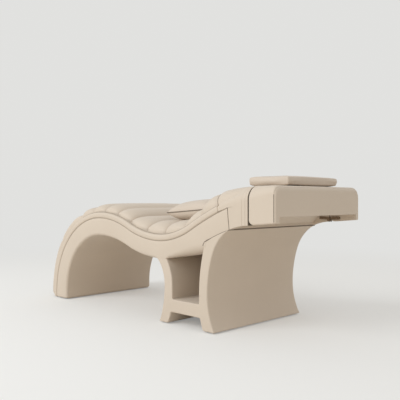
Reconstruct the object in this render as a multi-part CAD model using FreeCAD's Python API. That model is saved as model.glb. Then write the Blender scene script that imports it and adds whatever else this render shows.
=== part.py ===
"""Curved treatment bed: a wave-shaped upholstered body on a curved pedestal, with a tilting head section.

Frame: +X towards the head, +Y towards the left of a person lying on it, +Z up, millimetres.
The origin is on the floor, under the middle of the bed.
"""
import bisect
import math
import os

import FreeCAD
import Part

# Overall sizes
BED_WIDTH = 700.0
HEAD_END_X = 950.0
GLIDE_HEIGHT = 5.0
GLIDE_RADIUS = 14.0
GLIDE_MARGIN = 60.0

# Deck line of the wave body, seen from the side
CREST_X = -364.0
CREST_Z = 538.0
FOOT_RADIUS = 500.0
VALLEY_X = 166.0
VALLEY_Z = 429.0
VALLEY_RADIUS = 540.0
BACK_SLOPE = 29.0
DECK_END_X = 674.0
DECK_END_Z = 609.0

# Wave body under the deck line
BODY_DEPTH = 94.0
CREST_DEPTH = 105.0
ARCH_RADIUS = 378.0
BODY_END_X = 686.0
BODY_END_Z = 506.0
SIDE_COVER = 14.0
COVER_ROUND = 12.0
DECK_THICKNESS = 8.0
LINING_THICKNESS = 8.0
RIB_THICKNESS = 18.0
SOLE_THICKNESS = 18.0
BATTEN_WIDTH = 45.0
BATTEN_DEPTH = 25.0
BATTEN_PITCH = 230.0
BATTEN_DROP = 0.8

# Mattress, rims and piping
MATTRESS_HEIGHT = 86.0
RIM_HEIGHT = 32.0
RIM_WIDTH = 18.0
RIM_ROUND = 15.0
VALLEY_FILL = 19.0
FILL_REACH = 300.0
CHANNEL_PITCH = 140.0
CHANNEL_COUNT = 9
CHANNEL_DEPTH = 11.0
CROWN_EDGE = 130.0
CROWN_POWER = 2.4
CROWN_STATIONS = (1.0, 0.5, 0.22, 0.07, 0.0)
SEAM_SETBACK = 62.0
PIPING_RADIUS = 3.2
PIPING_CLEARANCE = 0.05
SEAM_GAP = 0.4

# Shoulder and head sections
HEAD_TOP_Z = 710.0
SHOULDER_LEVEL_X = 756.0
SHOULDER_CORNER = 65.0
TILT_X = 801.0
TILT_Z = 541.0
HEAD_GAP = 6.0
CHEEK_GAP_Z = 529.0
CHEEK_END_Z = 542.0
CHEEK_CORNER = 20.0
CHEEK_THICKNESS = 29.0
RECESS_Z = 571.0
RECESS_LEVEL_X = 796.0
FOAM_THICKNESS = 26.0
FRAME_WALL = 15.0
END_PANEL = 12.0
END_ROUND = 9.0

# Friction hinges of the head section
HINGE_PLATE = 4.0
HINGE_PLAY = 0.3
HINGE_EYE_RADIUS = 11.0
HINGE_ARM_LENGTH = 62.0
HINGE_ARM_RISE = 12.0
PIN_RADIUS = 5.0
PIN_CLEARANCE = 0.05
PIN_HEAD_RADIUS = 8.5
PIN_HEAD_LENGTH = 4.0
WASHER_THICKNESS = 2.0
HINGE_SCREW_RADIUS = 2.5
HINGE_SCREW_HEAD = 4.5
HINGE_SCREW_LENGTH = 16.0
HINGE_SCREW_CAP = 2.2

# Pillows
NECK_LENGTH = 226.0
NECK_WIDTH = 406.0
NECK_HEIGHT = 45.0
NECK_END_X = 914.0
NECK_CROWN = 7.0
NECK_EDGE_CROWN = 2.0
LUMBAR_LENGTH = 322.0
LUMBAR_WIDTH = 378.0
LUMBAR_TOP_Z = 645.0
LUMBAR_FOOT_X = 59.0
LUMBAR_RAMP = 140.0
LUMBAR_SEAM_Z = 576.0
LUMBAR_SEAT_INSET = 62.0
LUMBAR_CROWN = 14.0
LUMBAR_EDGE_DROP = 20.0
REST_GAP = 0.5

# Pedestal
FRONT_WAIST_X = 225.0
FRONT_WAIST_Z = 200.0
FRONT_FLARE = 41.0
FRONT_INNER_FLARE = 38.0
FRONT_TOP_Z = 343.0
FRONT_TOP_FLARE = 64.0
FRONT_INNER_TOP_FLARE = 50.0
FRONT_THICKNESS = 62.0
REAR_WAIST_X = 541.0
REAR_WAIST_Z = 180.0
REAR_FLARE = 50.0
REAR_INNER_FLARE = 29.0
REAR_KNEE_X = 573.0
REAR_KNEE_Z = 373.0
REAR_THICKNESS = 58.0
REAR_TOP_FLARE = 68.0
LEG_WRAP = 8.0
CORE_GAP = 0.3
LEG_ROUND = 12.0
SHELF_TOP_Z = 132.0
SHELF_THICKNESS = 67.0
BAY_FRONT_Z = 340.0
BAY_REAR_Z = 385.0
BOLT_RADIUS = 5.0
BOLT_HEAD_RADIUS = 9.0
BOLT_HEAD_LENGTH = 5.0
BOLT_LENGTH = 80.0
BOLT_CLEARANCE = 0.4
BOLT_SPREAD = 220.0
BOLT_INNER_SPREAD = 75.0
BOLT_SETBACK = 62.0
CLEAT_LENGTH = 90.0
CLEAT_HEIGHT = 42.0

# Places that follow from the sizes above
HALF_WIDTH = BED_WIDTH / 2
INNER_HALF = HALF_WIDTH - SIDE_COVER
MATTRESS_HALF = HALF_WIDTH - RIM_WIDTH
CHEEK_INNER = HALF_WIDTH - CHEEK_THICKNESS
SHOULDER_FACE_X = TILT_X - HEAD_GAP / 2
HEAD_FACE_X = TILT_X + HEAD_GAP / 2
COVER_END_X = HEAD_END_X - END_PANEL
BOLT_X = REAR_WAIST_X - REAR_THICKNESS - BOLT_SETBACK
ROOM = 2 * HEAD_END_X
TOUCH = 1e-3


def vec(x, z, y=0.0):
    """Point of the side view, at a distance y across the bed."""
    return FreeCAD.Vector(x, y, z)


def line(start, end):
    """Straight edge."""
    return Part.LineSegment(start, end).toShape()


def arc(start, middle, end):
    """Round edge through three points."""
    return Part.Arc(start, middle, end).toShape()


def polygon(points):
    """Straight edges from point to point, back to the first."""
    return [line(a, b) for a, b in zip(points, points[1:] + points[:1])]


def tangent_arc(start, direction, end):
    """Arc that leaves start along direction and reaches end, with its direction there."""
    along = FreeCAD.Vector(direction).normalize()
    chord = end.sub(start)
    ahead = chord.dot(along)
    aside = chord.sub(FreeCAD.Vector(along).multiply(ahead))
    half_turn = math.atan2(aside.Length, ahead)
    side = aside.normalize()
    radius = chord.Length / (2 * math.sin(half_turn))
    centre = start.add(FreeCAD.Vector(side).multiply(radius))
    lift = FreeCAD.Vector(side).multiply(-radius * math.cos(half_turn))
    reach = FreeCAD.Vector(along).multiply(radius * math.sin(half_turn))
    leaving = FreeCAD.Vector(along).multiply(math.cos(2 * half_turn))
    leaving = leaving.add(FreeCAD.Vector(side).multiply(math.sin(2 * half_turn)))
    return arc(start, centre.add(lift).add(reach), end), leaving


def slab(edges, y_low, y_high):
    """Closed side view, carried across the bed from y_low to y_high."""
    wire = Part.Wire(Part.__sortEdges__(edges))
    face = Part.Face(wire)
    solid = face.extrude(FreeCAD.Vector(0, y_high - y_low, 0))
    solid.translate(FreeCAD.Vector(0, y_low, 0))
    return solid


def box(x, y, z):
    """Box between pairs of limits."""
    size = (x[1] - x[0], y[1] - y[0], z[1] - z[0])
    return Part.makeBox(*size, FreeCAD.Vector(x[0], y[0], z[0]))


def rod(radius, start, end):
    """Round bar between two points."""
    run = end.sub(start)
    return Part.makeCylinder(radius, run.Length, start, run)


def above(solid, z):
    """Part of a solid that lies over a level."""
    return solid.common(box((-ROOM, ROOM), (-ROOM, ROOM), (z, ROOM)))


def group(solids):
    """Several separate solids in one node."""
    return Part.makeCompound(solids)


def edges_along(solid, path, y):
    """Edges of a solid that lie on a side-view line at a distance y across the bed."""
    track = group([edge.copy() for edge in path])
    track.translate(FreeCAD.Vector(0, y, 0))
    return [edge for edge in solid.Edges
            if all(Part.Vertex(point).distToShape(track)[0] < TOUCH for point in inner_points(edge))]


def inner_points(edge):
    """Three points of an edge, clear of its ends."""
    first, run = edge.FirstParameter, edge.LastParameter - edge.FirstParameter
    return [edge.valueAt(first + share * run) for share in (0.1, 0.5, 0.9)]


def mirrored(solid):
    """The same piece on the other side of the bed."""
    return solid.mirror(FreeCAD.Vector(0, 0, 0), FreeCAD.Vector(0, 1, 0))


class WaveLine:
    """Side-view line of tangent arcs: upright foot, foot arc, crest, valley, back and shoulder.

    A place on it is a distance along the line from its lower end, and an offset to the outside.
    """

    def __init__(self, foot_radius, crest_z, valley_z, valley_radius, end_x, end_z):
        self.stretches = []
        self.length = 0.0
        centre_z = crest_z - foot_radius
        self.upright(CREST_X - foot_radius, centre_z - foot_radius, centre_z)
        self.turn(CREST_X, centre_z, foot_radius, 180.0, 90.0)
        run = VALLEY_X - CREST_X
        drop = crest_z - valley_z
        slope = 2 * math.degrees(math.atan2(drop, run))
        radius = run / (2 * math.sin(math.radians(slope)))
        self.turn(CREST_X, crest_z - radius, radius, 90.0, 90.0 - slope)
        self.turn(VALLEY_X, valley_z + radius, -radius, 270.0 - slope, 270.0)
        rise_angle = math.radians(BACK_SLOPE)
        bend_x = VALLEY_X + valley_radius * math.sin(rise_angle)
        bend_z = valley_z + valley_radius * (1 - math.cos(rise_angle))
        self.turn(VALLEY_X, valley_z + valley_radius, -valley_radius, 270.0, 270.0 + BACK_SLOPE)
        end_angle = 2 * math.atan2(end_z - bend_z, end_x - bend_x) - rise_angle
        back_radius = (end_x - bend_x) / (math.sin(rise_angle) - math.sin(end_angle))
        centre = (end_x + back_radius * math.sin(end_angle), end_z - back_radius * math.cos(end_angle))
        self.turn(*centre, back_radius, 90.0 + BACK_SLOPE, 90.0 + math.degrees(end_angle))

    def upright(self, x, low_z, high_z):
        """Straight stretch of the foot."""
        def place(share, offset):
            return vec(x - offset, low_z + share * (high_z - low_z))
        self.add(place, high_z - low_z, True)

    def turn(self, x, z, radius, first, last):
        """Arc about a centre; a negative radius has the outside of the bed towards the centre."""
        def place(share, offset):
            angle = math.radians(first + share * (last - first))
            reach = abs(radius + offset)
            return vec(x + reach * math.cos(angle), z + reach * math.sin(angle))
        self.add(place, abs(radius * math.radians(last - first)), False)

    def add(self, place, length, straight):
        """Append one stretch."""
        self.stretches.append((self.length, length, place, straight))
        self.length += length

    def point(self, distance, offset=0.0):
        """Point at a distance along the line, moved outwards by offset."""
        for start, length, place, _ in self.stretches:
            if distance <= start + length:
                return place((distance - start) / length, offset)
        return self.stretches[-1][2](1.0, offset)

    def edges(self, first, last, offset=0.0):
        """Edges of the line between two distances, moved outwards by offset."""
        result = []
        for start, length, place, straight in self.stretches:
            low, high = max(first, start), min(last, start + length)
            if high - low < 1e-6:
                continue
            ends = [place((d - start) / length, offset) for d in (low, (low + high) / 2, high)]
            result.append(line(ends[0], ends[2]) if straight else arc(*ends))
        return result


DECK = WaveLine(FOOT_RADIUS, CREST_Z, VALLEY_Z, VALLEY_RADIUS, DECK_END_X, DECK_END_Z)
UNDER = WaveLine(ARCH_RADIUS, CREST_Z - CREST_DEPTH, VALLEY_Z - BODY_DEPTH, VALLEY_RADIUS + BODY_DEPTH,
                 BODY_END_X, BODY_END_Z)
SEAM = DECK.length - SEAM_SETBACK
VALLEY_PLACE = DECK.stretches[3][0] + DECK.stretches[3][1]
FOOT_X = CREST_X - FOOT_RADIUS
ARCH_FOOT_X = CREST_X - ARCH_RADIUS


def band(outer, outer_offset, inner, inner_offset, y_low, y_high):
    """Slab between two wave lines, cut off at the glides."""
    top = outer.edges(0.0, outer.length, outer_offset)
    low = inner.edges(0.0, inner.length, inner_offset)
    ends = [line(top[0].Vertexes[0].Point, low[0].Vertexes[0].Point),
            line(outer.point(outer.length, outer_offset), inner.point(inner.length, inner_offset))]
    return above(slab(top + low + ends, y_low, y_high), GLIDE_HEIGHT)


def layer(wave, low_offset, high_offset, last, y_low, y_high):
    """Slab of constant thickness along one wave line, cut off at the glides."""
    low = wave.edges(0.0, last, low_offset)
    high = wave.edges(0.0, last, high_offset)
    ends = [line(wave.point(d, low_offset), wave.point(d, high_offset)) for d in (0.0, last)]
    return above(slab(low + high + ends, y_low, y_high), GLIDE_HEIGHT)


def cord(offset, y, radius, last):
    """Round cord along the deck line, at one side of the bed."""
    path = Part.Wire(DECK.edges(0.0, last, offset))
    path.translate(FreeCAD.Vector(0, y, 0))
    start = path.Edges[0].Vertexes[0].Point
    ring = Part.Wire(Part.makeCircle(radius, start, FreeCAD.Vector(0, 0, 1)))
    tube = path.makePipeShell([ring], True, False)
    return above(tube, GLIDE_HEIGHT)


def wave_frame():
    """Ribs, battens, deck, sole board and lining of the wave body."""
    core = (DECK, -DECK_THICKNESS, UNDER, LINING_THICKNESS)
    floor_top = GLIDE_HEIGHT + SOLE_THICKNESS
    rib_places = {"rib_right": -INNER_HALF, "rib_centre": -RIB_THICKNESS / 2,
                  "rib_left": INNER_HALF - RIB_THICKNESS}
    past_end = slab(polygon([vec(DECK_END_X, DECK_END_Z), vec(BODY_END_X, BODY_END_Z), vec(ROOM, BODY_END_Z),
                             vec(ROOM, DECK_END_Z)]), -HALF_WIDTH, HALF_WIDTH)
    parts = {name: above(band(*core, y, y + RIB_THICKNESS), floor_top).cut(past_end)
             for name, y in rib_places.items()}
    sole = box((FOOT_X + DECK_THICKNESS, ARCH_FOOT_X - LINING_THICKNESS), (-INNER_HALF, INNER_HALF),
               (GLIDE_HEIGHT, floor_top))
    parts["sole_board"] = sole
    deck = layer(DECK, -DECK_THICKNESS, 0.0, DECK.length, -INNER_HALF, INNER_HALF)
    parts["bent_deck"] = deck.cut(past_end)
    parts["arch_lining"] = layer(UNDER, 0.0, LINING_THICKNESS, UNDER.length, -INNER_HALF, INNER_HALF)
    parts["cross_battens"] = group(battens())
    return parts


def rib_bays():
    """Limits across the bed of the two spaces between the ribs."""
    low, high = RIB_THICKNESS / 2, INNER_HALF - RIB_THICKNESS
    return [(low, high), (-high, -low)]


def battens():
    """Bars across the bed under the deck, from rib to rib."""
    top = -DECK_THICKNESS - BATTEN_DROP
    first = DECK.stretches[1][0] + BATTEN_PITCH / 2
    count = int((DECK.length - first) / BATTEN_PITCH)
    bars = []
    for number in range(count):
        middle = first + number * BATTEN_PITCH
        ends = (middle - BATTEN_WIDTH / 2, middle + BATTEN_WIDTH / 2)
        corners = [DECK.point(ends[0], top), DECK.point(ends[1], top),
                   DECK.point(ends[1], top - BATTEN_DEPTH), DECK.point(ends[0], top - BATTEN_DEPTH)]
        bars += [slab(polygon(corners), *bay) for bay in rib_bays()]
    return bars


def side_trim():
    """Side covers, rim rolls and piping cords of both sides."""
    cover = band(DECK, 0.0, UNDER, 0.0, INNER_HALF, HALF_WIDTH)
    cover = cover.makeFillet(COVER_ROUND, edges_along(cover, UNDER.edges(0.0, UNDER.length), HALF_WIDTH))
    rim = layer(DECK, 0.0, RIM_HEIGHT, SEAM, MATTRESS_HALF, HALF_WIDTH)
    rim = rim.makeFillet(RIM_ROUND, edges_along(rim, DECK.edges(0.0, SEAM, RIM_HEIGHT), HALF_WIDTH))
    groove = cord(0.0, HALF_WIDTH, PIPING_RADIUS + PIPING_CLEARANCE, DECK.length)
    lower = cord(0.0, HALF_WIDTH, PIPING_RADIUS, DECK.length)
    upper_place = (RIM_HEIGHT + PIPING_RADIUS + PIPING_CLEARANCE, MATTRESS_HALF + PIPING_RADIUS)
    upper = cord(*upper_place, PIPING_RADIUS, SEAM)
    left = {"side_cover": cover.cut(groove), "rim_roll": rim.cut(groove), "lower_piping": lower,
            "upper_piping": upper}
    parts = {name + "_left": solid for name, solid in left.items()}
    parts.update({name + "_right": mirrored(solid) for name, solid in left.items()})
    return parts


def crown(y):
    """Share of its full height that the mattress has at a distance y from the middle of the bed."""
    run = min(1.0, (MATTRESS_HALF - abs(y)) / CROWN_EDGE)
    return (1.0 - (1.0 - run) ** CROWN_POWER) ** (1.0 / CROWN_POWER)


def mattress_height(distance, share, dip=0.0):
    """Height of the mattress over the deck, fuller in the valley; share is 0 at the rim, 1 in the middle."""
    away = min(1.0, abs(distance - VALLEY_PLACE) / FILL_REACH)
    full = MATTRESS_HEIGHT + VALLEY_FILL * math.cos(away * math.pi / 2) ** 2 - dip
    edge = RIM_HEIGHT + 2 * PIPING_RADIUS
    return edge + (full - edge) * share


def mattress_point(distance, share, dip=0.0):
    """Point on top of the mattress, at a distance along the deck."""
    return DECK.point(distance, mattress_height(distance, share, dip))


def carried_over(value, inputs, outputs):
    """Value carried over from one rising list to another, straight between their entries."""
    place = bisect.bisect_left(inputs, value, 1, len(inputs) - 1)
    share = (value - inputs[place - 1]) / (inputs[place] - inputs[place - 1])
    return outputs[place - 1] + share * (outputs[place] - outputs[place - 1])


def channel_places():
    """Distances along the deck of the mattress's lower end, its channels, even on its top, and the seam."""
    marks = [start for start, *_ in DECK.stretches if start < SEAM] + [SEAM]
    tops = [sum(edge.Length for edge in DECK.edges(0.0, mark, MATTRESS_HEIGHT)) for mark in marks]
    channels = [tops[-1] - CHANNEL_PITCH * number for number in range(CHANNEL_COUNT, -1, -1)]
    return [0.0] + [carried_over(channel, tops, marks) for channel in channels]


def mattress():
    """Channelled mattress: rolls across the bed that sink towards both sides."""
    stations = [0.0] + [MATTRESS_HALF - CROWN_EDGE * share for share in CROWN_STATIONS]
    stations = [-y for y in reversed(stations[1:])] + stations
    places = channel_places()
    last = SEAM - SEAM_GAP
    sections = []
    for y in stations:
        share = crown(y)
        edges = DECK.edges(0.0, last)
        edges.append(line(DECK.point(last), mattress_point(last, share, CHANNEL_DEPTH)))
        for low, high in reversed(list(zip(places, places[1:]))):
            edges += roll_edges(low, min(high, last), share)
        edges.append(line(mattress_point(0.0, share), DECK.point(0.0)))
        wire = Part.Wire(edges)
        wire.translate(FreeCAD.Vector(0, y, 0))
        sections.append(wire)
    return above(Part.makeLoft(sections, True, True), GLIDE_HEIGHT)


def roll_edges(low, high, share):
    """Top of one roll, from its upper channel down to its lower one; the apron runs on to the floor."""
    start = mattress_point(high, share, CHANNEL_DEPTH)
    if low > 0.0:
        top = mattress_point((low + high) / 2, share)
        return [arc(start, top, mattress_point(low, share, CHANNEL_DEPTH))]
    swell = high - CHANNEL_PITCH / 2
    bend = mattress_point((swell + high) / 2, share, CHANNEL_DEPTH / 4)
    apron = DECK.edges(low, swell, mattress_height(low, share))
    return [arc(start, bend, mattress_point(swell, share))] + list(reversed(apron))


def cheek_z(x):
    """Height of the lower edge of the head section's cheeks."""
    return CHEEK_GAP_Z + (CHEEK_END_Z - CHEEK_GAP_Z) * (x - HEAD_FACE_X) / (HEAD_END_X - HEAD_FACE_X)


def recess_edges(lift):
    """Roof line of the recess, from the shoulder's face down to the body, moved up by lift."""
    level = vec(RECESS_LEVEL_X, RECESS_Z + lift)
    low = vec(BODY_END_X, BODY_END_Z + lift)
    curve, _ = tangent_arc(level, FreeCAD.Vector(-1, 0, 0), low)
    return [line(vec(SHOULDER_FACE_X, RECESS_Z + lift), level), curve]


def rounded_over(top, edges):
    """Closed side view across the whole bed, with the long edges of its top line rounded."""
    solid = slab(top + edges, -HALF_WIDTH, HALF_WIDTH)
    long_edges = edges_along(solid, top, HALF_WIDTH) + edges_along(solid, top, -HALF_WIDTH)
    return solid.makeFillet(SHOULDER_CORNER, long_edges)


def shoulder():
    """Wrap-round back section with its frame box and the lining of the recess."""
    seam_low, seam_top = DECK.point(SEAM), DECK.point(SEAM, MATTRESS_HEIGHT)
    level = vec(SHOULDER_LEVEL_X, HEAD_TOP_Z)
    top, _ = tangent_arc(level, FreeCAD.Vector(-1, 0, 0), seam_top)
    end_low, face_low = vec(BODY_END_X, BODY_END_Z), vec(SHOULDER_FACE_X, CHEEK_GAP_Z)
    cheek, _ = tangent_arc(face_low, FreeCAD.Vector(-1, 0, 0), end_low)
    face_top = vec(SHOULDER_FACE_X, HEAD_TOP_Z)
    outline = [line(seam_top, seam_low)] + DECK.edges(SEAM, DECK.length)
    outline += [line(DECK.point(DECK.length), end_low), cheek, line(face_low, face_top)]
    cover = rounded_over([line(face_top, level), top], outline)
    below = recess_edges(LINING_THICKNESS)
    face_end, body_end = ends_of(below)
    corners = [body_end, vec(BODY_END_X, 0), vec(SHOULDER_FACE_X, 0), face_end]
    recess = slab(below + [line(a, b) for a, b in zip(corners, corners[1:])], -CHEEK_INNER, CHEEK_INNER)
    frame_x = (BODY_END_X + FOAM_THICKNESS, SHOULDER_FACE_X)
    frame_z = (RECESS_Z + LINING_THICKNESS, HEAD_TOP_Z - FOAM_THICKNESS)
    room, frame = frame_box(frame_x, frame_z)
    lining_edges = recess_edges(0.0) + below
    lining_edges += [line(a, b) for a, b in zip(ends_of(recess_edges(0.0)), ends_of(below))]
    lining = slab(lining_edges, -CHEEK_INNER, CHEEK_INNER)
    groove = cord(0.0, HALF_WIDTH, PIPING_RADIUS + PIPING_CLEARANCE, DECK.length)
    cover = cover.cut(recess).cut(room).cut(groove).cut(mirrored(groove))
    return {"shoulder_cover": cover, "shoulder_frame": frame, "recess_lining": lining}


def ends_of(edges):
    """First and last points of a run of edges."""
    return edges[0].Vertexes[0].Point, edges[-1].Vertexes[1].Point


def frame_box(x, z):
    """Room for a frame box and the box itself: plywood walls, open at its ends across the bed."""
    y = (-HALF_WIDTH + SHOULDER_CORNER, HALF_WIDTH - SHOULDER_CORNER)
    room = box(x, y, z)
    hollow = box((x[0] + FRAME_WALL, x[1] - FRAME_WALL), y, (z[0] + FRAME_WALL, z[1] - FRAME_WALL))
    return room, room.cut(hollow)


def head_section():
    """Head section that tilts: cover, frame box, lining and end panel."""
    roof = RECESS_Z + LINING_THICKNESS
    turn = [vec(HEAD_FACE_X, CHEEK_GAP_Z + CHEEK_CORNER),
            vec(HEAD_FACE_X + CHEEK_CORNER, cheek_z(HEAD_FACE_X + CHEEK_CORNER))]
    bend, _ = tangent_arc(turn[0], FreeCAD.Vector(0, 0, -1), turn[1])
    face_top, end_top = vec(HEAD_FACE_X, HEAD_TOP_Z), vec(COVER_END_X, HEAD_TOP_Z)
    end_low = vec(COVER_END_X, cheek_z(COVER_END_X))
    outline = [line(face_top, turn[0]), bend, line(turn[1], end_low), line(end_low, end_top)]
    cover = rounded_over([line(end_top, face_top)], outline)
    recess = box((HEAD_FACE_X, COVER_END_X), (-CHEEK_INNER, CHEEK_INNER), (0, roof))
    room, frame = frame_box((HEAD_FACE_X, COVER_END_X), (roof, HEAD_TOP_Z - FOAM_THICKNESS))
    lining = box((HEAD_FACE_X, COVER_END_X), (-CHEEK_INNER, CHEEK_INNER), (RECESS_Z, roof))
    panel_low, panel_top = vec(HEAD_END_X, cheek_z(HEAD_END_X)), vec(HEAD_END_X, HEAD_TOP_Z)
    panel_outline = [line(end_top, end_low), line(end_low, panel_low), line(panel_low, panel_top)]
    panel = rounded_over([line(panel_top, end_top)], panel_outline)
    rim = [edge for edge in panel.Edges if on_end_top(edge)]
    panel = panel.makeFillet(END_ROUND, rim)
    notch = box((COVER_END_X, HEAD_END_X), (-CHEEK_INNER, CHEEK_INNER), (0, RECESS_Z))
    return {"headrest_cover": cover.cut(recess).cut(room), "headrest_frame": frame, "headrest_lining": lining,
            "headrest_end_panel": panel.cut(notch)}


def on_end_top(edge):
    """True for the top and corner edges of the end panel's outer face."""
    points = inner_points(edge)
    on_face = all(abs(p.x - HEAD_END_X) < TOUCH for p in points)
    return on_face and all(p.z > HEAD_TOP_Z - SHOULDER_CORNER for p in points)


def axle(radius, y_low, y_high):
    """Round bar on the tilt axis."""
    return rod(radius, vec(TILT_X, TILT_Z, y_low), vec(TILT_X, TILT_Z, y_high))


def hinge_plate(reach, y_low, y_high):
    """Eye round the tilt axis with an arm that rises along a cheek; a negative reach goes to the foot."""
    eye = axle(HINGE_EYE_RADIUS, y_low, y_high)
    turn = math.copysign(HINGE_EYE_RADIUS, reach)
    arm = slab(polygon([vec(TILT_X, TILT_Z - HINGE_EYE_RADIUS + HINGE_PLAY),
                        vec(TILT_X + turn, TILT_Z - HINGE_PLAY),
                        vec(TILT_X + reach, TILT_Z + HINGE_ARM_RISE - HINGE_EYE_RADIUS),
                        vec(TILT_X + reach, TILT_Z + HINGE_ARM_RISE + HINGE_PLATE),
                        vec(TILT_X, TILT_Z + HINGE_EYE_RADIUS - HINGE_PLAY)]), y_low, y_high)
    return eye.fuse(arm).removeSplitter()


def hinge_left():
    """Friction hinge on the inner faces of the left cheeks: plates, pin, washer and screws."""
    wall = CHEEK_INNER
    fixed_low = wall - HINGE_PLATE
    moving_high = fixed_low - HINGE_PLAY
    moving_low = moving_high - HINGE_PLATE
    fixed = hinge_plate(-HINGE_ARM_LENGTH, fixed_low, wall)
    moving = hinge_plate(HINGE_ARM_LENGTH, moving_low, moving_high)
    pad_x = (TILT_X + HINGE_EYE_RADIUS + HEAD_GAP, TILT_X + HINGE_ARM_LENGTH)
    arm_z = (TILT_Z + HINGE_ARM_RISE - HINGE_EYE_RADIUS, TILT_Z + HINGE_ARM_RISE + HINGE_PLATE)
    moving = moving.fuse(box(pad_x, (moving_low, wall), arm_z)).removeSplitter()
    washer_high = moving_low - HINGE_PLAY
    washer_low = washer_high - WASHER_THICKNESS
    head_low = washer_low - PIN_HEAD_LENGTH
    pin = axle(PIN_RADIUS, washer_low, wall).fuse(axle(PIN_HEAD_RADIUS, head_low, washer_low))
    bore = axle(PIN_RADIUS + PIN_CLEARANCE, 0, HALF_WIDTH)
    seat = axle(PIN_RADIUS, 0, HALF_WIDTH)
    washer = axle(PIN_HEAD_RADIUS, washer_low, washer_high).cut(bore)
    middle_z = sum(arm_z) / 2
    reaches = [HINGE_ARM_LENGTH * share for share in (0.5, 0.8)]
    fixed_screws = [hinge_screw(TILT_X - reach, middle_z, fixed_low) for reach in reaches]
    moving_screws = [hinge_screw(TILT_X + reach, middle_z, moving_low) for reach in reaches]
    for screw in fixed_screws:
        fixed = fixed.cut(screw)
    for screw in moving_screws:
        moving = moving.cut(screw)
    return {"hinge_fixed_plate": fixed.cut(seat), "hinge_moving_plate": moving.cut(bore), "hinge_pin": pin,
            "hinge_washer": washer, "fixed_screws": fixed_screws, "moving_screws": moving_screws}


def hinge_screw(x, z, face_y):
    """Wood screw that holds a hinge plate to a cheek."""
    shank = rod(HINGE_SCREW_RADIUS, vec(x, z, face_y), vec(x, z, face_y + HINGE_SCREW_LENGTH))
    return shank.fuse(rod(HINGE_SCREW_HEAD, vec(x, z, face_y - HINGE_SCREW_CAP), vec(x, z, face_y)))


def hinges(parts):
    """Adds both hinges and drills the cheeks for their screws."""
    left = hinge_left()
    screws = {name: left.pop(name) for name in ("fixed_screws", "moving_screws")}
    for name, solid in left.items():
        parts[name + "_left"] = solid
        parts[name + "_right"] = mirrored(solid)
    for name, cheek in (("fixed_screws", "shoulder_cover"), ("moving_screws", "headrest_cover")):
        both = screws[name] + [mirrored(screw) for screw in screws[name]]
        parts["hinge_" + name] = group(both)
        for screw in both:
            parts[cheek] = parts[cheek].cut(screw)


def pillow(sections):
    """Soft block lofted through sections across the bed."""
    wires = []
    for y, edges in sections:
        wire = Part.Wire(edges)
        wire.translate(FreeCAD.Vector(0, y, 0))
        wires.append(wire)
    return Part.makeLoft(wires, True, True)


def neck_pillow():
    """Flat pillow across the gap: crowned top, sides drawn in between the corners."""
    base = HEAD_TOP_Z + REST_GAP
    half = NECK_WIDTH / 2
    sections = []
    for y in (-half, -half + NECK_CROWN, -half / 2, 0.0, half / 2, half - NECK_CROWN, half):
        edge = abs(y) == half
        draw = NECK_CROWN if edge else NECK_CROWN / 2 * (1 - abs(y) / half)
        low, high = NECK_END_X - NECK_LENGTH + draw, NECK_END_X - draw
        lift = NECK_CROWN if edge else 0.0
        shoulder_z = base + NECK_HEIGHT - NECK_CROWN - lift / 2
        top_z = shoulder_z + (NECK_EDGE_CROWN if edge else NECK_CROWN)
        corners = [vec(low, base + lift), vec(high, base + lift), vec(high, shoulder_z), vec(low, shoulder_z)]
        edges = [line(corners[0], corners[1]), line(corners[1], corners[2]),
                 arc(corners[2], vec((low + high) / 2, top_z), corners[3]), line(corners[3], corners[0])]
        sections.append((y, edges))
    return pillow(sections)


def lumbar_pillow():
    """Loose pillow in the valley: its underside follows the mattress, its foot end is a ramp."""
    half = LUMBAR_WIDTH / 2
    head_x = LUMBAR_FOOT_X + LUMBAR_LENGTH
    reach = LUMBAR_LENGTH / 2 - LUMBAR_SEAT_INSET
    middle_x = (LUMBAR_FOOT_X + head_x) / 2
    seat_middle = VALLEY_PLACE + (middle_x - VALLEY_X)
    sections = []
    for y in (-half, -half + LUMBAR_CROWN, -half / 2, half / 2, half - LUMBAR_CROWN, half):
        edge = abs(y) == half
        draw = LUMBAR_CROWN if edge else 0.0
        places = [seat_middle + share * (reach - draw) for share in (-1.0, 0.0, 1.0)]
        seat = [DECK.point(place, mattress_height(place, 1.0) + REST_GAP + draw) for place in places]
        seam_low, seam_high = vec(LUMBAR_FOOT_X + draw, LUMBAR_SEAM_Z), vec(head_x - draw, LUMBAR_SEAM_Z)
        top = LUMBAR_TOP_Z - (LUMBAR_EDGE_DROP if edge else 0.0)
        shoulder_low = vec(LUMBAR_FOOT_X + LUMBAR_RAMP, top - LUMBAR_CROWN / 2)
        shoulder_high = vec(head_x - draw, top - LUMBAR_CROWN)
        crown_point = vec((shoulder_low.x + shoulder_high.x) / 2, top)
        ramp = seam_low.add(shoulder_low).multiply(0.5).add(vec(-LUMBAR_CROWN, LUMBAR_CROWN / 2))
        edges = [arc(*seat), line(seat[2], seam_high), line(seam_high, shoulder_high),
                 arc(shoulder_high, crown_point, shoulder_low), arc(shoulder_low, ramp, seam_low),
                 line(seam_low, seat[0])]
        sections.append((y, edges))
    return pillow(sections)


def bent_edge(start, rise, end):
    """Edge of a leg that leaves its upright stretch, upwards or downwards, for an end point."""
    return tangent_arc(start, FreeCAD.Vector(0, 0, rise), end)[0]


def inner_side(x, waist_z, floor_x, top):
    """Edge of a leg towards the shelf: bent under the shelf's top, upright to the waist and bent over it."""
    shelf, waist = vec(x, SHELF_TOP_Z), vec(x, waist_z)
    return [bent_edge(shelf, -1, vec(floor_x, 0)), line(shelf, waist), bent_edge(waist, 1, top)]


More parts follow.
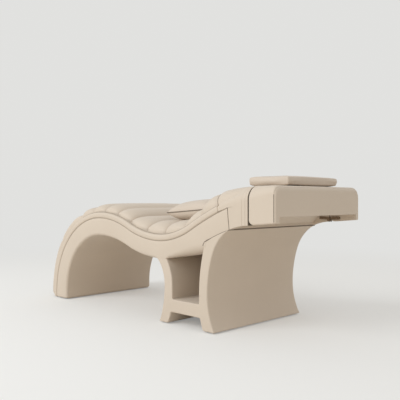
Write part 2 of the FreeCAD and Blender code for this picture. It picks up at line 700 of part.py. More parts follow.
def front_leg(inset):
    """Outer and inner sides of the front leg, hollowed towards the foot."""
    waist = vec(FRONT_WAIST_X + inset, FRONT_WAIST_Z)
    outer = [bent_edge(waist, -1, vec(waist.x - FRONT_FLARE, 0)),
             bent_edge(waist, 1, vec(waist.x - FRONT_TOP_FLARE, FRONT_TOP_Z))]
    inner_x = waist.x + FRONT_THICKNESS - 2 * inset
    inner = inner_side(inner_x, FRONT_WAIST_Z, inner_x - FRONT_INNER_FLARE,
                       vec(inner_x - FRONT_INNER_TOP_FLARE, FRONT_TOP_Z))
    return outer, inner


def rear_leg(inset):
    """Outer and inner sides of the rear leg, hollowed towards the head, flaring up to the body's end."""
    waist = vec(REAR_WAIST_X - inset, REAR_WAIST_Z)
    knee = vec(REAR_KNEE_X - inset, REAR_KNEE_Z)
    upright = FreeCAD.Vector(0, 0, 1)
    low = bent_edge(waist, -1, vec(waist.x + REAR_FLARE, 0))
    mid, direction = tangent_arc(waist, upright, knee)
    top = vec(BODY_END_X - inset, BODY_END_Z)
    high, _ = tangent_arc(knee, direction, top)
    inner_x = waist.x - REAR_THICKNESS + 2 * inset
    inner = inner_side(inner_x, REAR_WAIST_Z, inner_x + REAR_INNER_FLARE,
                       vec(inner_x + REAR_TOP_FLARE, BODY_END_Z))
    return [low, mid, high], inner


def leg_slab(sides, inset):
    """Slab between the two sides of a leg, across the bed."""
    outer, inner = sides
    floor = line(outer[0].Vertexes[1].Point, inner[0].Vertexes[1].Point)
    top = line(outer[-1].Vertexes[1].Point, inner[-1].Vertexes[1].Point)
    return slab(outer + inner + [floor, top], inset - HALF_WIDTH, HALF_WIDTH - inset)


def body_room(inset):
    """Everything over the body's underside, lowered by inset."""
    edges = UNDER.edges(0.0, UNDER.length, -inset)
    start, end = ends_of(edges)
    corners = [end, vec(end.x, ROOM), vec(start.x, ROOM), start]
    edges += [line(a, b) for a, b in zip(corners, corners[1:])]
    return slab(edges, -ROOM, ROOM)


def pedestal():
    """Legs with their cores, the shelf and the top block."""
    base = GLIDE_HEIGHT
    parts = {}
    legs = []
    for name, sides in (("front_leg", front_leg), ("rear_leg", rear_leg)):
        whole = leg_slab(sides(0.0), 0.0)
        legs.append(whole)
        corners = [edge for y in (-HALF_WIDTH, HALF_WIDTH) for edge in edges_along(whole, sides(0.0)[0], y)]
        rounded = above(whole.makeFillet(LEG_ROUND, corners), base).cut(body_room(0.0))
        hollow, core = (above(leg_slab(sides(inset), inset), base + inset).cut(body_room(inset))
                        for inset in (LEG_WRAP, LEG_WRAP + CORE_GAP))
        parts[name + "_cover"] = rounded.cut(hollow)
        parts[name + "_core"] = core
    bay_x = (FRONT_WAIST_X, REAR_WAIST_X)
    shelf = box(bay_x, (-HALF_WIDTH, HALF_WIDTH), (SHELF_TOP_Z - SHELF_THICKNESS, SHELF_TOP_Z))
    block = slab(polygon([vec(bay_x[0], BAY_FRONT_Z), vec(bay_x[1], BAY_REAR_Z), vec(bay_x[1], BODY_END_Z),
                          vec(bay_x[0], BODY_END_Z)]), -HALF_WIDTH, HALF_WIDTH).cut(body_room(0.0))
    for leg in legs:
        shelf = shelf.cut(leg)
        block = block.cut(leg)
    board = box(bay_x, (LEG_WRAP - HALF_WIDTH, HALF_WIDTH - LEG_WRAP),
                (SHELF_TOP_Z - SHELF_THICKNESS + LEG_WRAP, SHELF_TOP_Z - LEG_WRAP)).common(shelf)
    parts["shelf_board"] = board
    parts["shelf_cover"] = shelf.cut(board)
    parts["pedestal_top_block"] = block
    return parts


def pedestal_bolt(y):
    """Bolt up through the top block, its head under the block, and the hole for it."""
    slope = (BAY_REAR_Z - BAY_FRONT_Z) / (REAR_WAIST_X - FRONT_WAIST_X)
    face = BAY_FRONT_Z + slope * (BOLT_X - FRONT_WAIST_X - BOLT_HEAD_RADIUS)
    foot = vec(BOLT_X, face, y)
    shank = rod(BOLT_RADIUS, foot, vec(BOLT_X, face + BOLT_LENGTH, y))
    head = rod(BOLT_HEAD_RADIUS, vec(BOLT_X, face - BOLT_HEAD_LENGTH, y), foot)
    hole = rod(BOLT_RADIUS + BOLT_CLEARANCE, foot, vec(BOLT_X, ROOM, y))
    return shank.fuse(head), hole


def fasten_pedestal(parts):
    """Adds the pedestal's bolts and the cleats that they screw into, and drills the pieces between."""
    span = box((BOLT_X - CLEAT_LENGTH / 2, BOLT_X + CLEAT_LENGTH / 2), (-ROOM, ROOM), (0, ROOM))
    depth = (LINING_THICKNESS, LINING_THICKNESS + CLEAT_HEIGHT)
    cleats = [layer(UNDER, *depth, UNDER.length, *bay).common(span) for bay in rib_bays()]
    bolts = []
    for y in (-BOLT_SPREAD, -BOLT_INNER_SPREAD, BOLT_INNER_SPREAD, BOLT_SPREAD):
        bolt, hole = pedestal_bolt(y)
        bolts.append(bolt)
        cleats = [cleat.cut(bolt) for cleat in cleats]
        for name in ("pedestal_top_block", "arch_lining"):
            parts[name] = parts[name].cut(hole)
    parts["pedestal_bolts"] = group(bolts)
    parts["bolt_cleats"] = group(cleats)


def glides():
    """Discs under the foot and under both legs."""
    rows = {"foot_glides": [(FOOT_X + ARCH_FOOT_X) / 2],
            "pedestal_glides": [FRONT_WAIST_X + (FRONT_THICKNESS - FRONT_FLARE - FRONT_INNER_FLARE) / 2,
                                REAR_WAIST_X - (REAR_THICKNESS - REAR_FLARE - REAR_INNER_FLARE) / 2]}
    parts = {}
    for name, places in rows.items():
        spots = [(x, y) for x in places for y in (GLIDE_MARGIN - HALF_WIDTH, 0.0, HALF_WIDTH - GLIDE_MARGIN)]
        parts[name] = group([rod(GLIDE_RADIUS, vec(x, 0, y), vec(x, GLIDE_HEIGHT, y)) for x, y in spots])
    return parts


def build():
    """All pieces of the bed by name."""
    parts = {}
    parts.update(wave_frame())
    parts.update(side_trim())
    parts["mattress"] = mattress()
    parts.update(shoulder())
    parts.update(head_section())
    hinges(parts)
    parts["neck_pillow"] = neck_pillow()
    parts["lumbar_pillow"] = lumbar_pillow()
    parts.update(pedestal())
    fasten_pedestal(parts)
    parts.update(glides())
    return parts


def main():
    """Writes one file for each piece."""
    os.makedirs("parts", exist_ok=True)
    for name, shape in build().items():
        shape.exportStep("parts/" + name + ".step")
        print(name, len(shape.Solids), round(shape.Volume), shape.isValid())


main()
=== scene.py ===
"""Looks of a curved treatment bed: channelled mattress, wrapped body, head section, pillows and pedestal.

Lengths are metres: +X towards the head, +Y towards the left of a person lying on it, +Z up.
"""
import logging
import math
from collections.abc import Callable, Sequence
from dataclasses import dataclass
from enum import Enum
from typing import Any

import bmesh
import bpy
import numpy as np
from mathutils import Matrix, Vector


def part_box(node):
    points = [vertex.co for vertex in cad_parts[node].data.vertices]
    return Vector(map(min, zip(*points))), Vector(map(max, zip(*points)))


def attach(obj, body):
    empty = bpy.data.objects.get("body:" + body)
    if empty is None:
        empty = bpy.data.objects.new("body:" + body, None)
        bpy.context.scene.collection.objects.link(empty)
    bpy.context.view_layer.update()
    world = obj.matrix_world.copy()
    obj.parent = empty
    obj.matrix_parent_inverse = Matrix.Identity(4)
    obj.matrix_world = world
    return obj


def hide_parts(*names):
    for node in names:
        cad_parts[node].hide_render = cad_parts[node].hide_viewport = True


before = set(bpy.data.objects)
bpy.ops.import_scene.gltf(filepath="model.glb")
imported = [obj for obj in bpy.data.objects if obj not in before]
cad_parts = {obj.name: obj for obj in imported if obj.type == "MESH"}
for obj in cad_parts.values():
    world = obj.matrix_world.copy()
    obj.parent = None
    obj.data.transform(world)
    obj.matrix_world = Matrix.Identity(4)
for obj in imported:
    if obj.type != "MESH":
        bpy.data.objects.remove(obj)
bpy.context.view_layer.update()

LOG = logging.getLogger("treatment_bed")
Array = np.ndarray
Colour = tuple[float, float, float, float]
SIDES = ((1.0, "left"), (-1.0, "right"))
MIRROR = np.array([1.0, -1.0, 1.0])
ALONG, ACROSS, UP = (1.0, 0.0, 0.0), (0.0, 1.0, 0.0), (0.0, 0.0, 1.0)
NEGLIGIBLE = 1e-9
SOFT_EDGE, SEWN_EDGE, CRISP_EDGE = 60.0, 50.0, 45.0
# Thickness of the near-black sheets that are painted shade in the head gap.
GAP_SHADE_THICKNESS = 0.0006


class Body(Enum):
    """Rigid bodies that the pieces ride on."""

    BED = "bed"
    HEADREST = "headrest"
    NECK_PILLOW = "neck_pillow"
    LUMBAR_PILLOW = "lumbar_pillow"


class Slot(Enum):
    """Material slots of the record that the new pieces use."""

    UPHOLSTERY = "upholstery"
    PIPING = "piping"
    PILLOW = "pillow_leather"


def ease(value: Array | float) -> Array:
    """Smooth step from 0 to 1: 3t² - 2t³ of the value held between 0 and 1."""
    t = np.clip(value, 0.0, 1.0)
    return t * t * (3.0 - 2.0 * t)


def draw_in(depth: Array, radius: float) -> Array:
    """How far a rounded end draws in at a depth from it: r - sqrt(r² - (r - d)²), 0 past the radius."""
    short = np.clip(radius - depth, 0.0, radius)
    return radius - np.sqrt(radius ** 2 - short ** 2)


def spots(x: Array | float, y: Array | float, z: Array | float) -> Array:
    """Points from coordinates that broadcast together, with x, y and z last."""
    return np.stack(np.broadcast_arrays(x, y, z), axis=-1)


def quarter(count: int) -> Array:
    """Angles from 0 to a right angle."""
    return np.linspace(0.0, math.pi / 2.0, count)


def circle(count: int) -> Array:
    """Angles round a full turn, without the first one again."""
    return np.linspace(0.0, 2.0 * math.pi, count, endpoint=False)


def unevenness(points: Array, wave_length: float, seed: int) -> Array:
    """Soft unevenness of hand-fitted leather: a mean of sine waves in seeded directions, between -1 and 1.

    Args:
        points: Places, with x, y and z last.
        wave_length: Mean length of the waves.
        seed: Number that fixes the directions and phases.

    Returns:
        One value for each place.
    """
    count, mean_reach = 9, 1.7
    chance = np.random.default_rng(seed)
    waves = chance.normal(size=(3, count)) * (2.0 * math.pi / wave_length / mean_reach)
    phases = chance.uniform(0.0, 2.0 * math.pi, count)
    return np.sin(points @ waves + phases).mean(axis=-1)


def even_rows(start: float, end: float, spacing: float, close: float) -> Array:
    """Places from start to end at a spacing, with closer ones within a length of both ends.

    Args:
        start: First place.
        end: Last place.
        spacing: Distance between places in the middle.
        close: Length at both ends where the places are three times as close.

    Returns:
        The places in order.
    """
    middle = np.linspace(start + close, end - close, max(2, int((end - start - 2 * close) / spacing) + 1))
    steps = max(2, int(3 * close / spacing) + 2)
    first = np.linspace(start, start + close, steps)[:-1]
    last = np.linspace(end - close, end, steps)[1:]
    return np.concatenate([first, middle, last])


def tangent_arc(start: Sequence[float], direction: Sequence[float], end: Sequence[float],
                count: int = 24) -> Array:
    """Points of the arc that leaves start along a direction and reaches end.

    The chord makes half the arc's turn with the direction, so the radius is the chord over twice its sine.

    Args:
        start: First point of the side view.
        direction: Direction at the first point.
        end: Last point.
        count: Number of points.

    Returns:
        The points, one row each.
    """
    start, end = np.asarray(start, float), np.asarray(end, float)
    along = np.asarray(direction, float) / np.linalg.norm(direction)
    chord = end - start
    aside = chord - along * (chord @ along)
    side = aside / np.linalg.norm(aside)
    half_turn = math.atan2(chord @ side, chord @ along)
    radius = np.linalg.norm(chord) / (2.0 * math.sin(half_turn))
    turn = np.linspace(0.0, 2.0 * half_turn, count)[:, None]
    return start + radius * (np.sin(turn) * along + (1.0 - np.cos(turn)) * side)


def rounded_loop(corners: Sequence[tuple[float, float, float]], spacing: float, steps: int = 6) -> Array:
    """Closed outline with rounded corners.

    A corner is cut back by r·tan(turn / 2) along both its sides and joined by an arc; straight runs are
    divided to a spacing.

    Args:
        corners: Two coordinates and the radius of each corner.
        spacing: Largest distance between points on a straight run.
        steps: Points of each corner's arc, less one.

    Returns:
        The points, one row each, without the first repeated at the end.
    """
    points = np.array([corner[:2] for corner in corners])
    arcs = []
    for number, (_, _, radius) in enumerate(corners):
        before, here, after = points[number - 1], points[number], points[(number + 1) % len(points)]
        along, leave = here - before, after - here
        along, leave = along / np.linalg.norm(along), leave / np.linalg.norm(leave)
        turn = math.atan2(along[0] * leave[1] - along[1] * leave[0], along @ leave)
        side = np.array([-along[1], along[0]]) * math.copysign(1.0, turn)
        first = here - along * (radius * math.tan(abs(turn) / 2.0))
        angle = np.linspace(0.0, abs(turn), steps + 1)[:, None]
        arcs.append(first + radius * (np.sin(angle) * along + (1.0 - np.cos(angle)) * side))
    runs = []
    for number, bend in enumerate(arcs):
        gap = arcs[(number + 1) % len(arcs)][0] - bend[-1]
        count = max(1, math.ceil(np.linalg.norm(gap) / spacing))
        runs += [bend, bend[-1] + gap * np.linspace(0.0, 1.0, count + 1)[1:-1, None]]
    return np.concatenate(runs)


def inward(points: Array) -> Array:
    """Unit vectors square to a closed plane outline, to the left of its direction.

    Args:
        points: Points of the outline, one row each, running anticlockwise.

    Returns:
        One vector for each point, pointing inwards.
    """
    run = np.roll(points, -1, axis=0) - np.roll(points, 1, axis=0)
    side = np.stack([-run[:, 1], run[:, 0]], axis=1)
    return side / np.linalg.norm(side, axis=1, keepdims=True)


def resampled(points: Array, count: int) -> Array:
    """The same line with evenly spaced points, by linear interpolation along its length.

    Args:
        points: Points of the line, one row each, of any number of coordinates.
        count: Number of points to return.

    Returns:
        The new points.
    """
    marks = np.concatenate([[0.0], np.cumsum(np.linalg.norm(np.diff(points, axis=0), axis=1))])
    places = np.linspace(0.0, marks[-1], count)
    return np.stack([np.interp(places, marks, values) for values in points.T], axis=1)


def running(values: Array, window: int, gather: Callable[..., Array]) -> Array:
    """Mean, least or other gathering of the values about each point of a closed line, over an odd window."""
    wrapped = np.pad(values, ((window // 2, window // 2), (0, 0)), mode="wrap")
    return gather(np.lib.stride_tricks.sliding_window_view(wrapped, window, axis=0), axis=-1)


@dataclass(frozen=True)
class Upright:
    """Straight, upright stretch of a wave line, with the outside towards -X."""

    x: float
    low: float
    high: float

    def length(self, offset: float = 0.0) -> float:
        """Length of the stretch, the same at every offset."""
        return self.high - self.low

    def place(self, share: Array, offset: Array) -> tuple[Array, Array]:
        """Point at a share of the height, moved outwards: x less the offset, z between the ends."""
        return self.x - offset, self.low + share * self.length()


@dataclass(frozen=True)
class Turn:
    """Round stretch of a wave line; a negative radius has the outside of the bed towards the centre."""

    x: float
    z: float
    radius: float
    first: float
    last: float

    def length(self, offset: float = 0.0) -> float:
        """Length of the arc, moved outwards."""
        return abs((self.radius + offset) * math.radians(self.last - self.first))

    def place(self, share: Array, offset: Array) -> tuple[Array, Array]:
        """Points of the turn: the centre plus radius and offset along the angle's direction.

        Args:
            share: Shares of the turn, from 0 to 1.
            offset: Distances to the outside.

        Returns:
            The x and the z of the points.
        """
        angle = np.radians(self.first + share * (self.last - self.first))
        reach = np.abs(self.radius + offset)
        return self.x + reach * np.cos(angle), self.z + reach * np.sin(angle)


class WaveLine:
    """Side view of the wave: upright foot, foot arc, crest, valley, back and shoulder, all tangent.

    A position counts the stretches, so 2.5 is the middle of the third one, on every wave line alike.
    """

    def __init__(self, crest: tuple[float, float], foot_radius: float, valley: tuple[float, float],
                 valley_radius: float, back_slope: float, end: tuple[float, float], floor: float) -> None:
        """Works out the stretches: crest and valley share one radius, and the shoulder's arc closes the line.

        Args:
            crest: The x and z of the highest point of the leg rest.
            foot_radius: Radius of the arc from the upright foot to the crest.
            valley: The x and z of the lowest point of the seat.
            valley_radius: Radius past the lowest point.
            back_slope: Steepest slope of the back, in degrees.
            end: The x and z of the end under the shoulder.
            floor: Height of the foot's lower end.
        """
        middle_z = crest[1] - foot_radius
        run, drop = valley[0] - crest[0], crest[1] - valley[1]
        slope = 2.0 * math.degrees(math.atan2(drop, run))
        radius = run / (2.0 * math.sin(math.radians(slope)))
        rise = math.radians(back_slope)
        bend_x = valley[0] + valley_radius * math.sin(rise)
        bend_z = valley[1] + valley_radius * (1.0 - math.cos(rise))
        last = 2.0 * math.atan2(end[1] - bend_z, end[0] - bend_x) - rise
        back = (end[0] - bend_x) / (math.sin(rise) - math.sin(last))
        up, down = 90.0, 270.0
        self.stretches: list[Upright | Turn] = [
            Upright(crest[0] - foot_radius, floor, middle_z),
            Turn(crest[0], middle_z, foot_radius, 2.0 * up, up),
            Turn(crest[0], crest[1] - radius, radius, up, up - slope),
            Turn(valley[0], valley[1] + radius, -radius, down - slope, down),
            Turn(valley[0], valley[1] + valley_radius, -valley_radius, down, down + back_slope),
            Turn(end[0] + back * math.sin(last), end[1] - back * math.cos(last), back, up + back_slope,
                 up + math.degrees(last))]
        self.marks = self.lengths()
        self.length = float(self.marks[-1])

    def lengths(self, offset: float = 0.0) -> Array:
        """Lengths from the floor to the ends of the stretches, on the line moved outwards."""
        return np.concatenate([[0.0], np.cumsum([stretch.length(offset) for stretch in self.stretches])])

    def position(self, distance: Array | float) -> Array:
        """Positions of distances along the line from the floor."""
        return np.interp(distance, self.marks, np.arange(len(self.marks)))

    def at(self, position: Array | float, offset: Array | float = 0.0) -> tuple[Array, Array]:
        """Points at positions, moved outwards.

        Args:
            position: Places on the line.
            offset: Distances to the outside, which broadcast with the positions.

        Returns:
            The x and the z of the points.
        """
        spot, out = np.broadcast_arrays(np.asarray(position, float), np.asarray(offset, float))
        index = np.clip(spot.astype(int), 0, len(self.stretches) - 1)
        x, z = np.zeros(spot.shape), np.zeros(spot.shape)
        for number, stretch in enumerate(self.stretches):
            here = index == number
            x[here], z[here] = stretch.place(spot[here] - number, out[here])
        return x, z


class Sewing:
    """Points and faces of one piece, gathered from grids."""

    cord_sides = 8
    merge_distance = 2e-6
    least_edge = 1e-7

    def __init__(self) -> None:
        """Starts with nothing."""
        self.points: list[Array] = []
        self.faces: list[list[int]] = []
        self.count = 0

    @classmethod
    def shell(cls, rings: Array, name: str, crisp: float = SOFT_EDGE) -> bpy.types.Object:
        """Piece made of rings of points, closed at both ends.

        Args:
            rings: Rows by columns by 3, each row a closed ring.
            name: Name of the piece.
            crisp: Angle in degrees over which an edge shows.

        Returns:
            The new object, in the scene.
        """
        sewing = cls()
        sewing.tube(rings)
        return sewing.piece(name, crisp)

    def add(self, points: Array) -> Array:
        """Adds points.

        Args:
            points: An array with x, y and z last.

        Returns:
            The points' numbers, in the layout of the points.
        """
        numbers = np.arange(self.count, self.count + points[..., 0].size).reshape(points.shape[:-1])
        self.points.append(points.reshape(-1, 3))
        self.count += numbers.size
        return numbers

    def grid(self, points: Array, wrap: bool = False) -> Array:
        """Adds rows and columns of points with a quad in each cell.

        Args:
            points: Rows by columns by 3.
            wrap: Whether each row is a closed ring.

        Returns:
            The points' numbers.
        """
        numbers = self.add(points)
        ring = np.concatenate([numbers, numbers[:, :1]], axis=1) if wrap else numbers
        quads = np.stack([ring[:-1, :-1], ring[:-1, 1:], ring[1:, 1:], ring[1:, :-1]], axis=-1)
        self.faces += quads.reshape(-1, 4).tolist()
        return numbers

    def tube(self, points: Array) -> None:
        """Adds rings of points with a flat face over both open ends."""
        numbers = self.grid(points, wrap=True)
        self.faces += [numbers[0].tolist(), numbers[-1].tolist()]

    def cord(self, path: Array, radius: float, normal: Sequence[float], closed: bool = False) -> None:
        """Adds a round cord along a path: circles across the path's direction.

        Args:
            path: Points of the path, one row each.
            radius: Radius of the cord.
            normal: A direction that the path never takes.
            closed: Whether the path's last point joins its first.
        """
        along = np.roll(path, -1, axis=0) - np.roll(path, 1, axis=0) if closed else np.gradient(path, axis=0)
        along /= np.linalg.norm(along, axis=1, keepdims=True)
        side = np.cross(along, normal)
        side /= np.linalg.norm(side, axis=1, keepdims=True)
        angle = circle(self.cord_sides)[:, None, None]
        across = np.cos(angle) * side + np.sin(angle) * np.cross(side, along)
        rings = (path + radius * across).transpose(1, 0, 2)
        if closed:
            self.grid(np.concatenate([rings, rings[:1]]), wrap=True)
        else:
            self.tube(rings)

    def fan(self, ring: Array, apex: Sequence[float]) -> None:
        """Closes a ring with triangles from each of its edges to one point.

        Args:
            ring: Numbers of the ring's points.
            apex: The point.
        """
        tip = self.add(np.asarray(apex, float)[None])[0]
        other = np.roll(ring, -1)
        self.faces += np.stack([ring, other, np.full(ring.shape, tip)], axis=-1).tolist()

    def piece(self, name: str, crisp: float = CRISP_EDGE) -> bpy.types.Object:
        """Makes the object: doubles merged, faces outwards, smooth but for crisp edges.

        Args:
            name: Name of the piece.
            crisp: Angle in degrees over which an edge shows.

        Returns:
            The new object, in the scene.
        """
        data = bpy.data.meshes.new(name)
        data.from_pydata(np.concatenate(self.points).tolist(), [], self.faces)
        work = bmesh.new()
        work.from_mesh(data)
        bmesh.ops.remove_doubles(work, verts=work.verts, dist=self.merge_distance)
        bmesh.ops.dissolve_degenerate(work, edges=work.edges, dist=self.least_edge)
        bmesh.ops.recalc_face_normals(work, faces=work.faces)
        work.to_mesh(data)
        work.free()
        data.shade_smooth()
        data.set_sharp_from_angle(angle=math.radians(crisp))
        piece = bpy.data.objects.new(name, data)
        bpy.context.scene.collection.objects.link(piece)
        return piece


class Value:
    """A shader value that takes part in Python arithmetic; each operation adds a Math node."""

    def __init__(self, nodes: "Nodes", socket: bpy.types.NodeSocket | None) -> None:
        """Wraps one output socket."""
        self.nodes = nodes
        self.socket = socket

    def reckon(self, operation: str, first: "Value | float", second: "Value | float") -> "Value":
        """One Math node on two operands."""
        return self.nodes.node("ShaderNodeMath", {"operation": operation}, {0: first, 1: second})

    def __add__(self, other: "Value | float") -> "Value":
        """Sum."""
        return self.reckon("ADD", self, other)

    def __radd__(self, other: float) -> "Value":
        """Sum with the number first."""
        return self.reckon("ADD", other, self)

    def __sub__(self, other: "Value | float") -> "Value":
        """Difference."""
        return self.reckon("SUBTRACT", self, other)

    def __rsub__(self, other: float) -> "Value":
        """Difference with the number first."""
        return self.reckon("SUBTRACT", other, self)

    def __mul__(self, other: "Value | float") -> "Value":
        """Product."""
        return self.reckon("MULTIPLY", self, other)

    def __rmul__(self, other: float) -> "Value":
        """Product with the number first."""
        return self.reckon("MULTIPLY", other, self)


class Nodes:
    """Node tree of one material or of the world, with one method that adds any node."""

    def __init__(self, owner: bpy.types.Material | bpy.types.World) -> None:
        """Empties the owner's tree.

        Args:
            owner: The material or world.
        """
        owner.use_nodes = True
        self.tree = owner.node_tree
        self.tree.nodes.clear()

    def node(self, kind: str, settings: dict[str, Any], sockets: dict[str | int, Any],
             output: str | int = 0) -> Value:
        """Adds a node.

        Args:
            kind: Blender's name of the node's type.
            settings: Properties of the node, set first.
            sockets: Inputs by name or number, each a value, a colour or a link.
            output: The output to return.

        Returns:
            The wrapped output.
        """
        item = self.tree.nodes.new(kind)
        for name, setting in settings.items():
            setattr(item, name, setting)
        for name, value in sockets.items():
            if isinstance(value, Value):
                self.tree.links.new(value.socket, item.inputs[name])
            else:
                item.inputs[name].default_value = value
        return Value(self, item.outputs[output] if item.outputs else None)

    def place(self) -> Value:
        """Place on the object."""
        return self.node("ShaderNodeTexCoord", {}, {}, "Object")

    def stretched(self, place: Value, scale: tuple[float, float, float]) -> Value:
        """Place with each direction scaled, for a pattern that is longer one way."""
        return self.node("ShaderNodeMapping", {}, {"Vector": place, "Scale": scale})

    def mix(self, share: Value | float, low: Any, high: Any) -> Value:
        """Colour between two colours by a share."""
        return self.node("ShaderNodeMix", {"data_type": "RGBA"}, {0: share, 6: low, 7: high}, 2)

    def noise(self, place: Value, scale: float, detail: float = 2.0, output: str = "Fac") -> Value:
        """Noise of a scale per metre, about 0.5."""
        sockets = {"Vector": place, "Scale": scale, "Detail": detail}
        return self.node("ShaderNodeTexNoise", {}, sockets, output)

    def bump(self, height: Value, strength: float, distance: float) -> Value:
        """Normal of a bumpy surface."""
        return self.node("ShaderNodeBump", {}, {"Strength": strength, "Distance": distance, "Height": height})

    def seen(self) -> Value:
        """1 on what the camera sees, straight, by reflection or through glass, and 0 on other light.

        Returns:
            The sum of the three kinds of ray.
        """
        rays = ("Is Camera Ray", "Is Glossy Ray", "Is Transmission Ray")
        straight, glossy, through = (self.node("ShaderNodeLightPath", {}, {}, ray) for ray in rays)
        return straight + glossy + through

    def matter(self, sockets: dict[str | int, Any]) -> Value:
        """A Principled shader."""
        return self.node("ShaderNodeBsdfPrincipled", {}, sockets)

    def surface(self, shader: Value) -> None:
        """Puts a shader on the surface."""
        self.node("ShaderNodeOutputMaterial", {}, {"Surface": shader})


class Finish:
    """A finish that makes its material once and hands the same one to every piece."""

    name: str
    made: dict[str, bpy.types.Material] = {}

    def material(self) -> bpy.types.Material:
        """The finish's material.

        Returns:
            The material, made at the first call.
        """
        if self.name not in self.made:
            material = bpy.data.materials.new(self.name)
            nodes = Nodes(material)
            self.paint(nodes, nodes.place())
            self.made[self.name] = material
        return self.made[self.name]

    def paint(self, nodes: Nodes, place: Value) -> None:
        """Adds the finish's nodes, with the place on the object as coordinates."""
        raise NotImplementedError


@dataclass(frozen=True)
class Leather(Finish):
    """Soft artificial leather with a fine pebble grain, faint cloudiness and slight creases."""

    name: str
    colour: Colour
    shade: Colour
    pebble: float = 0.0016
    pebble_depth: float = 0.00022
    pebble_softness: float = 0.35
    warp: float = 0.0012
    warp_scale: float = 260.0
    crease_depth: float = 0.0009
    crease_scale: float = 38.0
    cloud_scale: float = 5.0
    cloud_tone: float = 0.7
    pebble_tone: float = 0.5
    tone_shift: float = 0.2
    relief: float = 0.55
    roughness: float = 0.52
    rough_pebbles: float = 0.16
    smooth_clouds: float = 0.06
    shine: float = 0.42
    sheen: float = 0.12
    sheen_roughness: float = 0.5

    def paint(self, nodes: Nodes, place: Value) -> None:
        """Pebbles from warped cells, creases from noise, colour and roughness from cells and a slow cloud.

        Args:
            nodes: The material's nodes.
            place: Place on the object.
        """
        warp = nodes.noise(place, self.warp_scale, 1.0, "Color")
        bent = nodes.node("ShaderNodeVectorMath", {"operation": "MULTIPLY_ADD"},
                          {0: warp, 1: (self.warp,) * 3, 2: place})
        cells = nodes.node("ShaderNodeTexVoronoi", {"feature": "SMOOTH_F1"},
                           {"Vector": bent, "Scale": 1.0 / self.pebble, "Smoothness": self.pebble_softness},
                           "Distance")
        cloud = nodes.noise(place, self.cloud_scale, 3.0)
        crease = nodes.noise(place, self.crease_scale, 3.0)
        height = (1.0 - cells) * self.pebble_depth + crease * self.crease_depth
        tone = cloud * self.cloud_tone + cells * self.pebble_tone - self.tone_shift
        nodes.surface(nodes.matter({
            "Base Color": nodes.mix(tone, self.colour, self.shade),
            "Roughness": self.roughness + cells * self.rough_pebbles - cloud * self.smooth_clouds,
            "Normal": nodes.bump(height, self.relief, 1.0), "Specular IOR Level": self.shine,
            "Sheen Weight": self.sheen, "Sheen Roughness": self.sheen_roughness}))


@dataclass(frozen=True)
class Plywood(Finish):
    """Pale birch plywood with long streaks of grain."""

    name: str
    light: Colour
    dark: Colour
    grain: tuple[float, float, float] = (2.2, 26.0, 26.0)
    streak_scale: float = 3.0
    contrast: float = 1.3
    tone_shift: float = 0.15
    pore_scale: float = 40.0
    pore_depth: float = 0.0006
    relief: float = 0.3
    roughness: float = 0.55
    rough_pores: float = 0.2

    def paint(self, nodes: Nodes, place: Value) -> None:
        """Streaks from noise squeezed across the grain, with fine pores.

        Args:
            nodes: The material's nodes.
            place: Place on the object.
        """
        along = nodes.stretched(place, self.grain)
        streak = nodes.noise(along, self.streak_scale, 5.0)
        pores = nodes.noise(along, self.pore_scale)
        nodes.surface(nodes.matter({
            "Base Color": nodes.mix(streak * self.contrast - self.tone_shift, self.light, self.dark),
            "Roughness": self.roughness + pores * self.rough_pores,
            "Normal": nodes.bump(pores, self.relief, self.pore_depth)}))


@dataclass(frozen=True)
class Steel(Finish):
    """Brushed steel with fine scratches along the plates."""

    name: str
    light: Colour
    dark: Colour
    brushing: tuple[float, float, float] = (40.0, 900.0, 900.0)
    scratch_depth: float = 0.0002
    relief: float = 0.2
    stain_scale: float = 60.0
    roughness: float = 0.26
    rough_scratches: float = 0.22

    def paint(self, nodes: Nodes, place: Value) -> None:
        """Scratches from noise stretched along x, which vary the roughness, and stains from broad noise.

        Args:
            nodes: The material's nodes.
            place: Place on the object.
        """
        scratch = nodes.noise(nodes.stretched(place, self.brushing), 1.0, 3.0)
        stain = nodes.noise(place, self.stain_scale, 3.0)
        nodes.surface(nodes.matter({
            "Base Color": nodes.mix(stain, self.dark, self.light), "Metallic": 1.0,
            "Roughness": self.roughness + scratch * self.rough_scratches,
            "Normal": nodes.bump(scratch, self.relief, self.scratch_depth)}))


@dataclass(frozen=True)
class Moulded(Finish):
    """Moulded plastic with a fine spark-eroded texture."""

    name: str
    colour: Colour
    worn: Colour
    texture_scale: float = 1400.0
    texture_depth: float = 0.0003
    relief: float = 0.35
    scuff_scale: float = 90.0
    scuff_tone: float = 0.6
    roughness: float = 0.5
    rough_texture: float = 0.2

    def paint(self, nodes: Nodes, place: Value) -> None:
        """Fine noise for the texture, broad noise for scuffs.

        Args:
            nodes: The material's nodes.
            place: Place on the object.
        """
        fine = nodes.noise(place, self.texture_scale)
        scuff = nodes.noise(place, self.scuff_scale, 4.0)
        nodes.surface(nodes.matter({
            "Base Color": nodes.mix(scuff * self.scuff_tone, self.colour, self.worn),
            "Roughness": self.roughness + fine * self.rough_texture,
            "Normal": nodes.bump(fine, self.relief, self.texture_depth)}))


